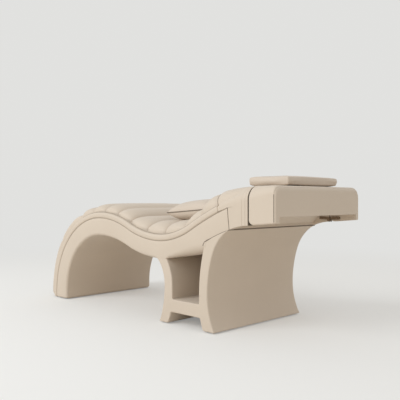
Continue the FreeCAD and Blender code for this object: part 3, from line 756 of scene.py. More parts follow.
BEIGE = Leather("beige_leather", (0.66, 0.57, 0.475, 1.0), (0.60, 0.512, 0.42, 1.0))
# Welt cords are real piping, but they are painted darker than the leather: painted shade of the grooves beside
# them.
WELT_PAINTED_SHADE = Leather("welt_painted_shade", (0.40, 0.33, 0.26, 1.0), (0.33, 0.27, 0.21, 1.0), pebble=0.0012)
# The upper welt cords are painted a little darker than the leather: lighter painted shade of the crease
# between rim and mattress.
PALE_WELT_PAINTED_SHADE = Leather("pale_welt_painted_shade", (0.52, 0.44, 0.355, 1.0), (0.45, 0.38, 0.305, 1.0), pebble=0.0012)
# Near-black cords laid in seams, grooves and under overhangs: painted shade, not the colour of a thread.
SEAM_PAINTED_SHADE = Leather("seam_painted_shade", (0.20, 0.155, 0.115, 1.0), (0.15, 0.115, 0.085, 1.0), pebble=0.0009)
# Near-black sheet on the faces of the gap between shoulder and head: painted shade deep in the gap.
GAP_SHADE = Leather("painted_gap_shade", (0.15, 0.118, 0.09, 1.0), (0.11, 0.087, 0.066, 1.0), pebble=0.0009,
                 roughness=0.8)
PILLOW_SKIN = Leather("pillow_leather", (0.65, 0.56, 0.47, 1.0), (0.59, 0.50, 0.415, 1.0), pebble=0.0013)
BIRCH = Plywood("birch_plywood", (0.62, 0.46, 0.29, 1.0), (0.47, 0.32, 0.18, 1.0))
HINGE_METAL = Steel("bronzed_steel", (0.34, 0.26, 0.19, 1.0), (0.22, 0.165, 0.12, 1.0))
GLIDE_PLASTIC = Moulded("black_plastic", (0.025, 0.025, 0.027, 1.0), (0.06, 0.06, 0.062, 1.0))


def settle(piece: bpy.types.Object, body: Body, finish: Finish, nodes: Sequence[str] = ()) -> None:
    """Dresses a finished piece and tells the frame what it rides on and stands for.

    Args:
        piece: The piece, in place.
        body: Body that it moves with.
        finish: Finish that it gets.
        nodes: Solids that it stands for.
    """
    piece.data.materials.clear()
    piece.data.materials.append(finish.material())
    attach(piece, body.value)
    if nodes:
        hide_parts(*nodes)
    LOG.info("%s rides on %s with %d faces", piece.name, body.value, len(piece.data.polygons))


def paint_gap_shade(ring: Array, thickness: float, name: str, body: Body) -> None:
    """Painted shade over one face of the gap: a near-black sheet, the face's edge carried along x by a
    thickness.

    Args:
        ring: The face's edge, one row of points.
        thickness: Thickness towards the gap, negative towards the foot.
        name: Name of the piece.
        body: Body that it moves with.
    """
    rings = ring + np.array([[[0.0, 0.0, 0.0]], [[thickness, 0.0, 0.0]]])
    settle(Sewing.shell(rings, name, CRISP_EDGE), body, GAP_SHADE)


@dataclass(frozen=True)
class Inflation:
    """Cloth simulation that swells a closed cover by the pressure of its filling, up to a cap."""

    pressure: float
    cap: float
    bending: float = 0.5
    stiffness: float = 15.0
    frames: int = 20
    quality: int = 5

    def swell(self, piece: bpy.types.Object, held: Array | None = None) -> None:
        """Swells a piece and keeps the result in its mesh, with one subdivision.

        Args:
            piece: The closed piece.
            held: How firmly each point is held, from 0 to 1, or None where all are free.
        """
        before = self.read(piece)
        cloth = piece.modifiers.new("filling", "CLOTH")
        cloth.settings.quality = self.quality
        cloth.settings.tension_stiffness = cloth.settings.compression_stiffness = self.stiffness
        cloth.settings.bending_stiffness = self.bending
        cloth.settings.use_pressure = True
        cloth.settings.uniform_pressure_force = self.pressure
        cloth.settings.effector_weights.gravity = 0.0
        cloth.point_cache.frame_start, cloth.point_cache.frame_end = 1, self.frames
        if held is not None:
            group = piece.vertex_groups.new(name="held")
            for level in np.unique(held[held > 0.0]):
                group.add(np.flatnonzero(held == level).tolist(), float(level), "REPLACE")
            cloth.settings.vertex_group_mass = "held"
        for number in range(1, self.frames + 1):
            bpy.context.scene.frame_set(number)
        self.keep(piece)
        piece.vertex_groups.clear()
        bpy.context.scene.frame_set(1)
        move = self.read(piece) - before
        reach = np.linalg.norm(move, axis=1, keepdims=True)
        move *= np.minimum(1.0, self.cap / np.maximum(reach, NEGLIGIBLE))
        self.write(piece, before + move)
        finer = piece.modifiers.new("finer", "SUBSURF")
        finer.levels = finer.render_levels = 1

    @staticmethod
    def read(piece: bpy.types.Object) -> Array:
        """Points of a piece.

        Args:
            piece: The piece.

        Returns:
            The points, one row each.
        """
        points = np.empty(len(piece.data.vertices) * 3)
        piece.data.vertices.foreach_get("co", points)
        return points.reshape(-1, 3)

    @staticmethod
    def write(piece: bpy.types.Object, points: Array) -> None:
        """Puts new points into a piece."""
        piece.data.vertices.foreach_set("co", points.ravel())
        piece.data.update()

    @staticmethod
    def keep(piece: bpy.types.Object) -> None:
        """Keeps what the modifiers make as the piece's own mesh, and removes them.

        Args:
            piece: The piece.
        """
        shown = piece.evaluated_get(bpy.context.evaluated_depsgraph_get())
        kept = bpy.data.meshes.new_from_object(shown)
        piece.modifiers.clear()
        old, piece.data = piece.data, kept
        bpy.data.meshes.remove(old)
        kept.name = piece.name


@dataclass(frozen=True)
class Plan:
    """Lines and sizes that several pieces share."""

    half_width: float
    floor: float
    deck: WaveLine
    under: WaveLine
    body_end: tuple[float, float]
    seam_setback: float = 0.062

    @classmethod
    def from_frame(cls) -> "Plan":
        """Reads the width and the floor gap from the frame, and lays out the deck and the underside.

        Returns:
            The plan.
        """
        half_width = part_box("shoulder_cover")[1].y
        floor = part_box("foot_glides")[1].z
        crest_x, valley_x, back_slope, body_end = -0.364, 0.166, 29.0, (0.686, 0.506)
        deck = WaveLine(crest=(crest_x, 0.538), foot_radius=0.500, valley=(valley_x, 0.429),
                        valley_radius=0.540, back_slope=back_slope, end=(0.674, 0.609), floor=floor)
        under = WaveLine(crest=(crest_x, 0.433), foot_radius=0.378, valley=(valley_x, 0.335),
                         valley_radius=0.634, back_slope=back_slope, end=body_end, floor=floor)
        return cls(half_width, floor, deck, under, body_end)

    @property
    def seam(self) -> float:
        """Distance along the deck of the seam across the bed, where the mattress ends."""
        return self.deck.length - self.seam_setback


@dataclass
class Mattress:
    """Channelled mattress with its rims and cords, from the floor at the foot to the seam across the bed.

    Each fill has a place along the deck, a reach and what it adds to the height. The pairs of edges and of
    powers are for the apron at the foot and for the rolls. The upper cord's place is from the mattress's side
    and from the rim's top.
    """

    plan: Plan
    height: float = 0.086
    fills: tuple[tuple[float, float, float], ...] = (
        (0.12, 0.75, 0.012), (1.363, 0.30, 0.019), (1.80, 0.22, 0.030))
    edges: tuple[float, float] = (0.040, 0.130)
    powers: tuple[float, float] = (3.8, 2.4)
    apron_end: float = 0.35
    apron_blend: float = 0.45
    foot_round: float = 0.026
    foot_draw: float = 0.5
    foot_hold: float = 1.3
    deck_gap: float = 0.0006
    channel_pitch: float = 0.140
    channel_count: int = 9
    channel_depth: float = 0.024
    channel_hold: float = 0.05
    roll_power: float = 1.8
    rim_firmness: float = 0.8
    firm_reach: float = 0.35
    pucker_depth: float = 0.0022
    pucker_length: float = 0.11
    pucker_squeeze: tuple[float, float, float] = (1.0, 3.0, 1.0)
    pucker_spread: float = 0.08
    pucker_reach: float = 0.5
    uneven_depth: float = 0.0012
    uneven_length: float = 0.21
    rim_height: float = 0.032
    rim_width: float = 0.018
    rim_gap: float = 0.0005
    rim_lap: float = 0.001
    rim_rounds: tuple[float, float, float, float] = (0.002, 0.008, 0.012, 0.0035)
    rim_swell: float = 0.0016
    rim_face: float = 0.004
    rim_spacing: float = 0.005
    cord: float = 0.0032
    cord_tuck: float = 0.0052
    upper_cord: float = 0.0027
    upper_place: tuple[float, float] = (0.0008, 0.0036)
    row_spacing: float = 0.012
    close_rows: float = 0.02
    floor_round: float = 0.012
    floor_shrink: float = 0.55
    foot_points: int = 7
    apron_points: int = 64
    roll_points: int = 16

    @property
    def half(self) -> float:
        """Half the mattress's width, between the rims."""
        return self.plan.half_width - self.rim_width

    def channels(self) -> Array:
        """Channels, evenly spaced along the mattress's top, from the lowest one to the seam.

        Returns:
            Their distances along the deck.
        """
        deck = self.plan.deck
        tops = deck.lengths(self.height)
        last = np.interp(self.plan.seam, deck.marks, tops)
        steps = np.arange(self.channel_count, -1, -1)
        return np.interp(last - self.channel_pitch * steps, tops, deck.marks)

    def top(self, distance: Array | float) -> Array:
        """Full height over the deck: each fill adds its amount times a squared cosine that ends at its reach.

        Args:
            distance: Places along the deck.

        Returns:
            One height for each place.
        """
        return self.height + sum(
            amount * np.cos(np.clip(np.abs(distance - place) / reach, 0.0, 1.0) * math.pi / 2.0) ** 2
            for place, reach, amount in self.fills)

    def section(self, distance: Array, edge_points: int, flat_points: int) -> tuple[Array, Array, Array]:
        """Lines across the top: both sides rise as a superellipse quarter to a flat middle.

        Args:
            distance: Places along the deck, one row each.
            edge_points: Points on each rising side.
            flat_points: Points on the middle, with its ends.

        Returns:
            The y and the height over the deck, rows by columns, and the share of the rise, which is 0 at
            the rim and 1 on the middle.
        """
        angle = quarter(edge_points)
        over = ease((distance - self.apron_end) / self.apron_blend)
        power = 2.0 / (self.powers[0] + (self.powers[1] - self.powers[0]) * over)
        edge = self.edges[0] + (self.edges[1] - self.edges[0]) * over
        low = self.rim_height + 2.0 * self.cord
        side = self.half - edge * (1.0 - np.cos(angle) ** power)
        flat = side[:, -1:] * np.linspace(1.0, -1.0, flat_points)[1:-1]
        rise, ones = np.sin(angle) ** power, np.ones(flat_points - 2)
        lift = np.concatenate([rise, ones * np.ones_like(power), rise[:, ::-1]], axis=1)
        share = np.concatenate([angle, ones * angle[-1], angle[::-1]]) / angle[-1]
        y = np.concatenate([side, flat, -side[:, ::-1]], axis=1)
        return y, low + (self.top(distance) - low) * lift, share

    def rows(self) -> Array:
        """Rows of the mattress: close at the foot, even on the apron, closer to the channels on the rolls.

        Returns:
            Their distances along the deck.
        """
        channels = self.channels()
        foot = np.linspace(0.0, self.foot_round, self.foot_points)[:-1]
        apron = np.linspace(self.foot_round, channels[0], self.apron_points)
        share = 0.5 - 0.5 * np.cos(np.linspace(0.0, math.pi, self.roll_points + 1)[1:])
        rolls = (np.arange(self.channel_count)[:, None] + share).ravel()
        return np.concatenate([foot, apron, np.interp(rolls, np.arange(channels.size), channels)])

    def fullness(self, distance: Array) -> Array:
        """Swell of the rolls: (1 - |2t - 1|^p)^(1/p) from channel to channel, held at 1 on the apron.

        Args:
            distance: Places along the deck.

        Returns:
            One share of the swell for each place.
        """
        channels = self.channels()
        turns = np.interp(distance, channels, np.arange(channels.size))
        apron = np.maximum(1.0 + (distance - channels[0]) / self.channel_pitch, 0.5)
        share = np.where(distance < channels[0], apron, turns - np.floor(turns + NEGLIGIBLE))
        side = np.abs(2.0 * np.clip(share, 0.0, 1.0) - 1.0)
        return (1.0 - side ** self.roll_power) ** (1.0 / self.roll_power)

    def pad(self) -> bpy.types.Object:
        """Mattress: rings over the crowned top and back along the deck, drawn in to its channels.

        A channel sinks the top along the crown's own normal by the depth times one less the swell, and
        puckers it by exp(-swell² / spread) of an uneven fold.

        Returns:
            The piece.
        """
        deck, distance = self.plan.deck, self.rows()[:, None]
        y, height, share = self.section(distance, 19, 30)
        run_y, run_h = np.gradient(y, axis=1), np.gradient(height, axis=1)
        size = np.hypot(run_y, run_h)
        normal_y, normal_h = run_h / size, -run_y / size
        full = self.fullness(distance)
        firm = self.rim_firmness + (1.0 - self.rim_firmness) * ease(share / self.firm_reach)
        sunk = self.channel_depth * (1.0 - full) * firm
        round_foot = draw_in(distance, self.foot_round)
        top_y = y - normal_y * sunk - np.sign(y) * round_foot * self.foot_draw
        top_h = height - normal_h * sunk - round_foot
        position = deck.position(distance)
        x, z = deck.at(position, top_h)
        points = spots(x, top_y, z)
        pucker = np.exp(-full ** 2 / self.pucker_spread) * ease(share / self.pucker_reach)
        squeezed = points * self.pucker_squeeze
        fold = unevenness(squeezed, self.pucker_length, 4) * pucker * self.pucker_depth
        uneven = unevenness(points, self.uneven_length, 5) * self.uneven_depth
        x, z = deck.at(position, top_h + normal_h * fold + uneven)
        under_x, under_z = deck.at(position, self.deck_gap)
        under = spots(under_x, np.linspace(-self.half, self.half, 12), under_z)
        rings = np.concatenate([spots(x, top_y, z), under], axis=1)
        piece = Sewing.shell(rings, "mattress_pad")
        held = np.ones(rings.shape[:2])
        free = (distance > self.foot_round * self.foot_hold) & (full >= self.channel_hold)
        held[:-1, 1:y.shape[1] - 1] = 1.0 - free[:-1]
        Inflation(pressure=2.5, cap=0.006, bending=2.0).swell(piece, held.ravel())
        return piece

    def carried(self, loop: Array, last: float, name: str) -> bpy.types.Object:
        """Closed profile carried along the deck, drawn in about its middle where it meets the floor.

        Args:
            loop: Points of the profile: y and the height over the deck.
            last: Distance along the deck where it ends.
            name: Name of the piece.

        Returns:
            The piece.
        """
        distance = even_rows(0.0, last, self.row_spacing, self.close_rows)[:, None]
        middle = loop.mean(axis=0)
        shrink = 1.0 - draw_in(distance, self.floor_round) / self.floor_round * self.floor_shrink
        y, height = (middle[axis] + (loop[:, axis] - middle[axis]) * shrink for axis in (0, 1))
        x, z = self.plan.deck.at(self.plan.deck.position(distance), height)
        return Sewing.shell(spots(x, y, z), name)

    def rim(self, side: float, word: str) -> bpy.types.Object:
        """Rounded band along one side: a D-shaped profile whose outer face swells by a sine of its height.

        Args:
            side: 1 for the left, -1 for the right.
            word: The side's word in the name.

        Returns:
            The piece.
        """
        low, high = self.half + self.rim_gap, self.plan.half_width
        top = self.rim_height + self.rim_lap
        corners = zip((low, high, high, low), (self.rim_gap, self.rim_gap, top, top), self.rim_rounds)
        loop = rounded_loop(list(corners), self.rim_spacing)
        swell = np.sin(np.clip(loop[:, 1] / self.rim_height, 0.0, 1.0) * math.pi)
        face = loop[:, 0] > high - self.rim_face
        loop[:, 0] = (loop[:, 0] + self.rim_swell * swell * face) * side
        return self.carried(loop, self.plan.seam, "rim_band_" + word)

    def welt(self, name: str, side: float, middle: tuple[float, float], radius: float,
             last: float) -> bpy.types.Object:
        """Welt cord: a circle carried along the deck.

        Args:
            name: Name of the piece.
            side: 1 for the left, -1 for the right.
            middle: The circle's distance from the bed's middle and height over the deck.
            radius: Radius of the cord.
            last: Distance along the deck where it ends.

        Returns:
            The piece.
        """
        angle = circle(12)
        y = (middle[0] + radius * np.cos(angle)) * side
        return self.carried(np.stack([y, middle[1] + radius * np.sin(angle)], axis=1), last, name)

    def build(self) -> None:
        """Makes and dresses the mattress, both rims and the four cords, which are painted darker than the
        leather as the shade of the grooves beside them.
        """
        plan = self.plan
        settle(self.pad(), Body.BED, BEIGE, ["mattress"])
        lower_place = (plan.half_width - self.cord_tuck, 0.0)
        upper_place = (self.half + self.upper_place[0], self.rim_height + self.upper_place[1])
        for side, word in SIDES:
            settle(self.rim(side, word), Body.BED, BEIGE, ["rim_roll_" + word])
            lower = self.welt("lower_welt_" + word, side, lower_place, self.cord, plan.deck.length)
            # The lower welt's dark colour is painted shade of the groove under the rim.
            settle(lower, Body.BED, WELT_PAINTED_SHADE, ["lower_piping_" + word])
            upper = self.welt("upper_welt_" + word, side, upper_place, self.upper_cord, plan.seam)
            # The upper welt's darker colour is painted shade of the crease beside it.
            settle(upper, Body.BED, PALE_WELT_PAINTED_SHADE, ["upper_piping_" + word])


@dataclass
class BodyWrap:
    """Leather wrap of the wave body: sides and underside in one, with soft lower corners.

    The bay's front and rear are points of its roof, and its growth is where the corner starts to grow and over
    what length. The close span counts stretches of the wave. The end goes on behind the shoulder, a little
    smaller.
    """

    plan: Plan
    edge: float = 0.008
    corner: float = 0.016
    bay_corners: tuple[float, float] = (0.020, 0.052)
    bay_growth: tuple[float, float] = (0.26, 0.24)
    seam_corner: float = 0.004
    bay_front: tuple[float, float] = (0.225, 0.340)
    bay_rear: tuple[float, float] = (0.541, 0.385)
    bay_x: tuple[float, float] = (0.262, 0.534)
    arch_end_x: float = 0.2
    front_leg_x: tuple[float, float] = (0.150, 0.262)
    rear_leg_x: float = 0.527
    blend: float = 0.02
    rear_blend: float = 0.010
    swell: float = 0.0022
    deck_gap: float = 0.0006
    floor_round: float = 0.010
    end_round: float = 0.004
    end_close: float = 0.005
    end_shrink: tuple[float, float, float] = (1.0, 0.995, 1.0)
    end_move: tuple[float, float, float] = (0.014, 0.0, 0.003)
    row_spacing: float = 0.010
    close_rows: float = 0.03
    close_span: tuple[float, float] = (4.3, 5.5)
    close_points: int = 150

    def low_line(self, position: Array) -> tuple[Array, Array]:
        """Lower line of the body: the underside, let down over the shelf bay to the bay's straight roof.

        Args:
            position: Places on the underside's line.

        Returns:
            The x and the z of the points.
        """
        x, z = self.plan.under.at(position)
        slope = (self.bay_rear[1] - self.bay_front[1]) / (self.bay_rear[0] - self.bay_front[0])
        roof = self.bay_front[1] + slope * (x - self.bay_front[0])
        past_front = ease((x - self.bay_x[0]) / self.blend)
        before_rear = ease((self.bay_x[1] + self.rear_blend - x) / self.rear_blend)
        return x, z - past_front * before_rear * np.maximum(z - roof, 0.0)

    def corner_at(self, x: Array) -> Array:
        """Radius of the lower corner: soft on the arch, small over both legs and growing along the bay.

        Args:
            x: Places along the bed.

        Returns:
            One radius for each place.
        """
        first, last = self.bay_corners
        start, reach = self.bay_growth
        bay = first + (last - first) * ease((x - start) / reach)
        radius = np.where(x > self.arch_end_x, bay, self.corner)
        low, high = self.front_leg_x
        front = ease((x - low) / self.blend) * ease((high - x) / self.blend)
        over_legs = np.maximum(front, ease((x - self.rear_leg_x) / self.blend))
        return radius + (self.seam_corner - radius) * over_legs

    def places(self) -> Array:
        """Places of the rings, closer over the legs and at the seam with the shoulder.

        Returns:
            Positions on the deck's line, in order.
        """
        deck, (first, last) = self.plan.deck, self.close_span
        even = deck.position(even_rows(0.0, deck.length, self.row_spacing, self.close_rows))
        even = even[(even < first) | (even > last)]
        ending = deck.position(deck.length - np.linspace(self.end_close, 0.0, 7))
        return np.unique(np.concatenate([even, np.linspace(first, last, self.close_points), ending]))

    def build(self) -> None:
        """Rings round the body at places along the wave, each from the deck down to the low line and back.

        A ring is a rounded rectangle between both lines; its sides swell by a sine of their depth. The last
        rings draw in to the seam with the shoulder and go on behind it.
        """
        deck, edge, half = self.plan.deck, self.edge, self.plan.half_width
        position = self.places()[:, None]
        top_x, top_z = deck.at(position, -self.deck_gap)
        low_x, low_z = self.low_line(position)
        depth = np.hypot(low_x - top_x, low_z - top_z)
        down_x, down_z = (low_x - top_x) / depth, (low_z - top_z) / depth
        corner = self.corner_at(low_x)
        turn, upper = quarter(10), quarter(6)[::-1]
        share = np.linspace(0.0, 1.0, 9)[1:-1]
        ones = np.ones_like(position)
        y_half = np.concatenate([ones * (half - edge + edge * np.cos(upper)),
                                 ones * np.full(share.size, half),
                                 half - corner + corner * np.cos(turn)], axis=1)
        q_half = np.concatenate([ones * (edge - edge * np.sin(upper)), edge + (depth - corner - edge) * share,
                                 depth - corner + corner * np.sin(turn)], axis=1)
        y_half = y_half + self.swell * np.sin(np.clip(q_half / depth, 0.0, 1.0) * math.pi)
        flat = np.linspace(1.0, -1.0, 16)[1:-1]
        y = np.concatenate([y_half, (half - corner) * flat, -y_half[:, ::-1],
                            ones * (half - edge) * flat[::-1]], axis=1)
        q = np.concatenate([q_half, depth * np.ones(flat.size), q_half[:, ::-1],
                            ones * np.zeros(flat.size)], axis=1)
        left = deck.length - np.interp(position, np.arange(deck.marks.size), deck.marks)
        over_floor = (top_z + low_z) / 2.0 - self.plan.floor
        tuck = np.where(position < 1.0, draw_in(over_floor, self.floor_round), 0.0)
        tuck = tuck + draw_in(left, self.end_round)
        y = y - np.sign(y) * tuck
        q = q + tuck * np.where(q < depth / 2.0, 1.0, -1.0)
        points = spots(top_x + down_x * q, y, top_z + down_z * q)
        behind = points[-1:] * self.end_shrink + self.end_move
        piece = Sewing.shell(np.concatenate([points, behind]), "body_wrap", SEWN_EDGE)
        settle(piece, Body.BED, BEIGE,
               ["side_cover_left", "side_cover_right", "arch_lining", "pedestal_top_block", "bent_deck"])


@dataclass
class Shoulder:
    """Wrap-round section between the mattress and the head section.

    Half of its edge runs up the body's end, back along the deck, up the rim and its round, over the crown and
    along the flat middle; the numbers of points are those of these runs.
    """

    plan: Plan
    mattress: Mattress
    face_x: float
    top_z: float
    corner: float = 0.065
    corner_start: float = 0.002
    level_x: float = 0.756
    gap_z: float = 0.529
    recess_z: float = 0.571
    recess_level_x: float = 0.796
    cheek: float = 0.029
    ridge_z: float = 0.616
    ridge_step: float = 0.0006
    flat_y: float = 0.215
    rim_starts: tuple[float, ...] = (0.004, 0.010, 0.016)
    rim_round: float = 0.012
    seam_round: float = 0.014
    side_round: float = 0.004
    gap_round: float = 0.0035
    top_run: float = 0.15
    side_run: float = 0.12
    creases: tuple[float, float] = (0.764, 0.784)
    crease_depth: float = 0.0026
    crease_width: float = 0.0024
    crease_from: float = 0.10
    crease_blend: float = 0.12
    hidden_shrink: tuple[float, float, float] = (1.0, 0.97, 1.0)
    hidden_move: tuple[float, float, float] = (-0.004, 0.0, -0.006)
    hidden_tip: tuple[float, float, float] = (0.700, 0.0, 0.585)
    close_shares: tuple[float, float] = (0.08, 0.95)
    end_points: int = 13
    deck_points: int = 9
    round_points: int = 7
    crown_points: int = 17
    flat_points: int = 15
    row_points: int = 120

    @property
    def flank_points(self) -> int:
        """Number of points up the body's end and back along the deck."""
        return self.end_points + self.deck_points - 1

    def level_curve(self, x: Array, level: tuple[float, float], low: tuple[float, float]) -> Array:
        """Heights of the arc that is level at one point and passes a lower one, flat past the level point.

        Args:
            x: Places along the bed.
            level: The x and z of the level point.
            low: The x and z of the lower point.

        Returns:
            One height for each place.
        """
        run, drop = level[0] - low[0], level[1] - low[1]
        radius = (run ** 2 + drop ** 2) / (2.0 * drop)
        return level[1] - radius + np.sqrt(radius ** 2 - np.clip(level[0] - x, 0.0, radius) ** 2)

    def half_lines(self) -> tuple[Array, Array, Array, Array]:
        """Matching points of half the foot boundary and half the gap face, from the lower edge to the middle.

        The foot boundary climbs the body's end, goes back along the deck to the seam, up the rim and over the
        crown. The gap face climbs straight and rounds over a quarter circle.

        Returns:
            Foot points, face points, and for each point how far it follows the lower edge and the top line.
        """
        plan, deck, pad, half = self.plan, self.plan.deck, self.mattress, self.plan.half_width
        seam = deck.position(plan.seam)
        back = deck.position(np.linspace(deck.length, plan.seam, self.deck_points))
        deck_last = np.stack(deck.at(back), axis=1)
        end = np.linspace(np.array(plan.body_end), deck_last[0], self.end_points)
        flank = np.concatenate([end, deck_last[1:]])
        angle, radius = quarter(self.round_points), self.rim_round
        crown_y, crown_h, _ = pad.section(np.array([[plan.seam]]), self.crown_points, 3)
        crown_y, crown_h = crown_y[0, :self.crown_points], crown_h[0, :self.crown_points]
        over_y = np.concatenate([[half] * len(self.rim_starts),
                                 half - radius + radius * np.cos(angle), crown_y])
        over_h = np.concatenate([self.rim_starts,
                                 pad.rim_height - radius + radius * np.sin(angle), crown_h])
        over_x, over_z = deck.at(seam, over_h)
        flat_x, flat_z = deck.at(seam, pad.top(plan.seam))
        flat_y = np.linspace(crown_y[-1], 0.0, self.flat_points)[1:]
        foot = np.concatenate([spots(flank[:, 0], half, flank[:, 1]), spots(over_x, over_y, over_z),
                               spots(flat_x, flat_y, flat_z)])
        straight, turn = self.top_z - self.corner, quarter(40)
        bend = np.stack([half - self.corner * (1.0 - np.cos(turn)), straight + self.corner * np.sin(turn)],
                        axis=1)
        bend = np.concatenate([[(half, straight - self.corner_start)], bend, [(self.flat_y, self.top_z)]])
        bend = resampled(bend, over_y.size + 1)[1:]
        middle = np.linspace(self.flat_y, 0.0, self.flat_points)[1:]
        face_y = np.concatenate([np.full(len(flank), half), bend[:, 0], middle])
        face_z = np.concatenate([np.linspace(self.gap_z, self.ridge_z, self.end_points),
                                 np.linspace(self.ridge_z, straight, self.deck_points)[1:],
                                 bend[:, 1], np.full(middle.size, self.top_z)])
        lower = np.concatenate([np.linspace(1.0, 0.0, len(flank)), np.zeros(over_y.size + middle.size)])
        rise = np.sqrt((over_h - over_h[0]) / (over_h[-1] - over_h[0]))
        upper = np.concatenate([np.zeros(len(flank)), rise, np.ones(middle.size)])
        return foot, spots(self.face_x, face_y, face_z), lower, upper

    def outer(self, share: Array) -> Array:
        """Half of the outside, between the foot boundary and the gap face.

        Straight lines join both boundaries; the lower edge adds the rise of the cheek's arc over its chord,
        and the top adds the rise of the top arc. The ridge over the deck is kept up, the seams draw in, and
        each crease sinks the leather by a bell curve along x.

        Args:
            share: Shares of the way to the gap face, one row each.

        Returns:
            The points, rows by columns by 3.
        """
        plan, deck = self.plan, self.plan.deck
        foot, face, lower, upper = self.half_lines()
        outer = foot + (face - foot) * share[..., None]
        top_low = (float(foot[-1, 0]), float(foot[-1, 2]))
        for weight, level, low in ((lower, (self.face_x, self.gap_z), plan.body_end),
                                   (upper, (self.level_x, self.top_z), top_low)):
            ends = [self.level_curve(line[:, 0], level, low) for line in (foot, face)]
            chord = ends[0] + (ends[1] - ends[0]) * share
            outer[..., 2] += weight * (self.level_curve(outer[..., 0], level, low) - chord)
        deck_x, deck_z = deck.at(deck.position(np.linspace(plan.seam, deck.length, self.deck_points)))
        ledge = slice(self.end_points, self.flank_points + len(self.rim_starts))
        ridge = np.interp(outer[:, ledge, 0], np.append(deck_x, self.face_x), np.append(deck_z, self.ridge_z))
        ridge = ridge + np.arange(ridge.shape[1]) * self.ridge_step
        outer[:, ledge, 2] = np.maximum(outer[:, ledge, 2], ridge)
        outer[..., 2] -= draw_in(share * self.top_run, self.seam_round) * upper
        outer[..., 1] -= draw_in(share * self.side_run, self.side_round) * (1.0 - upper)
        tuck = draw_in(self.face_x - outer[..., 0], self.gap_round)
        outer[..., 1] -= tuck * (1.0 - upper)
        crease = self.crease_depth * sum(
            np.exp(-((outer[..., 0] - x) / self.crease_width) ** 2) for x in self.creases)
        aside = ease((outer[..., 1] - self.crease_from) / self.crease_blend)
        outer[..., 2] -= tuck * upper + crease * upper * aside
        outer[..., 1] -= crease * (1.0 - upper)
        return outer

    def inner(self, share: Array) -> Array:
        """Half of the inside: up the cheek's inner wall and along the recess's roof to the middle.

        Args:
            share: Shares of the way to the gap face, one row each.

        Returns:
            The points, rows by columns by 3.
        """
        end, inner_y = self.plan.body_end, self.plan.half_width - self.cheek
        roof_y, wall = np.linspace(inner_y, 0.0, 10)[1:], np.linspace(0.0, 1.0, 7)
        x = end[0] + (self.face_x - end[0]) * share
        low_z = self.level_curve(x, (self.face_x, self.gap_z), end)
        roof_z = np.maximum(self.level_curve(x, (self.recess_level_x, self.recess_z), end), low_z)
        y = np.concatenate([np.full(wall.size, inner_y), roof_y])
        z = np.concatenate([low_z + (roof_z - low_z) * wall, roof_z * np.ones(roof_y.size)], axis=1)
        return spots(x, y, z)

    def build(self) -> None:
        """Makes and dresses the painted shade over the gap face and the wrap, closed by a tip inside the
        mattress.
        """
        first, last = self.close_shares
        share = np.concatenate([np.linspace(0.0, first, 8)[:-1], np.linspace(first, last, self.row_points),
                                np.linspace(last, 1.0, 9)[1:]])[:, None]
        outer, inner = self.outer(share), self.inner(share)
        rings = np.concatenate([outer * MIRROR, outer[:, -2::-1], inner, inner[:, -2::-1] * MIRROR], axis=1)
        hidden = rings[:1] * self.hidden_shrink + self.hidden_move
        sewing = Sewing()
        numbers = sewing.grid(np.concatenate([hidden, rings]), wrap=True)
        sewing.fan(numbers[0], self.hidden_tip)
        sewing.faces.append(numbers[-1].tolist())
        # A near-black sheet over the shoulder's gap face: painted shade deep in the gap.
        paint_gap_shade(rings[-1:], GAP_SHADE_THICKNESS, "shoulder_gap_painted_shade", Body.BED)
        settle(sewing.piece("shoulder_wrap", SEWN_EDGE), Body.BED, BEIGE,
               ["shoulder_cover", "recess_lining"])


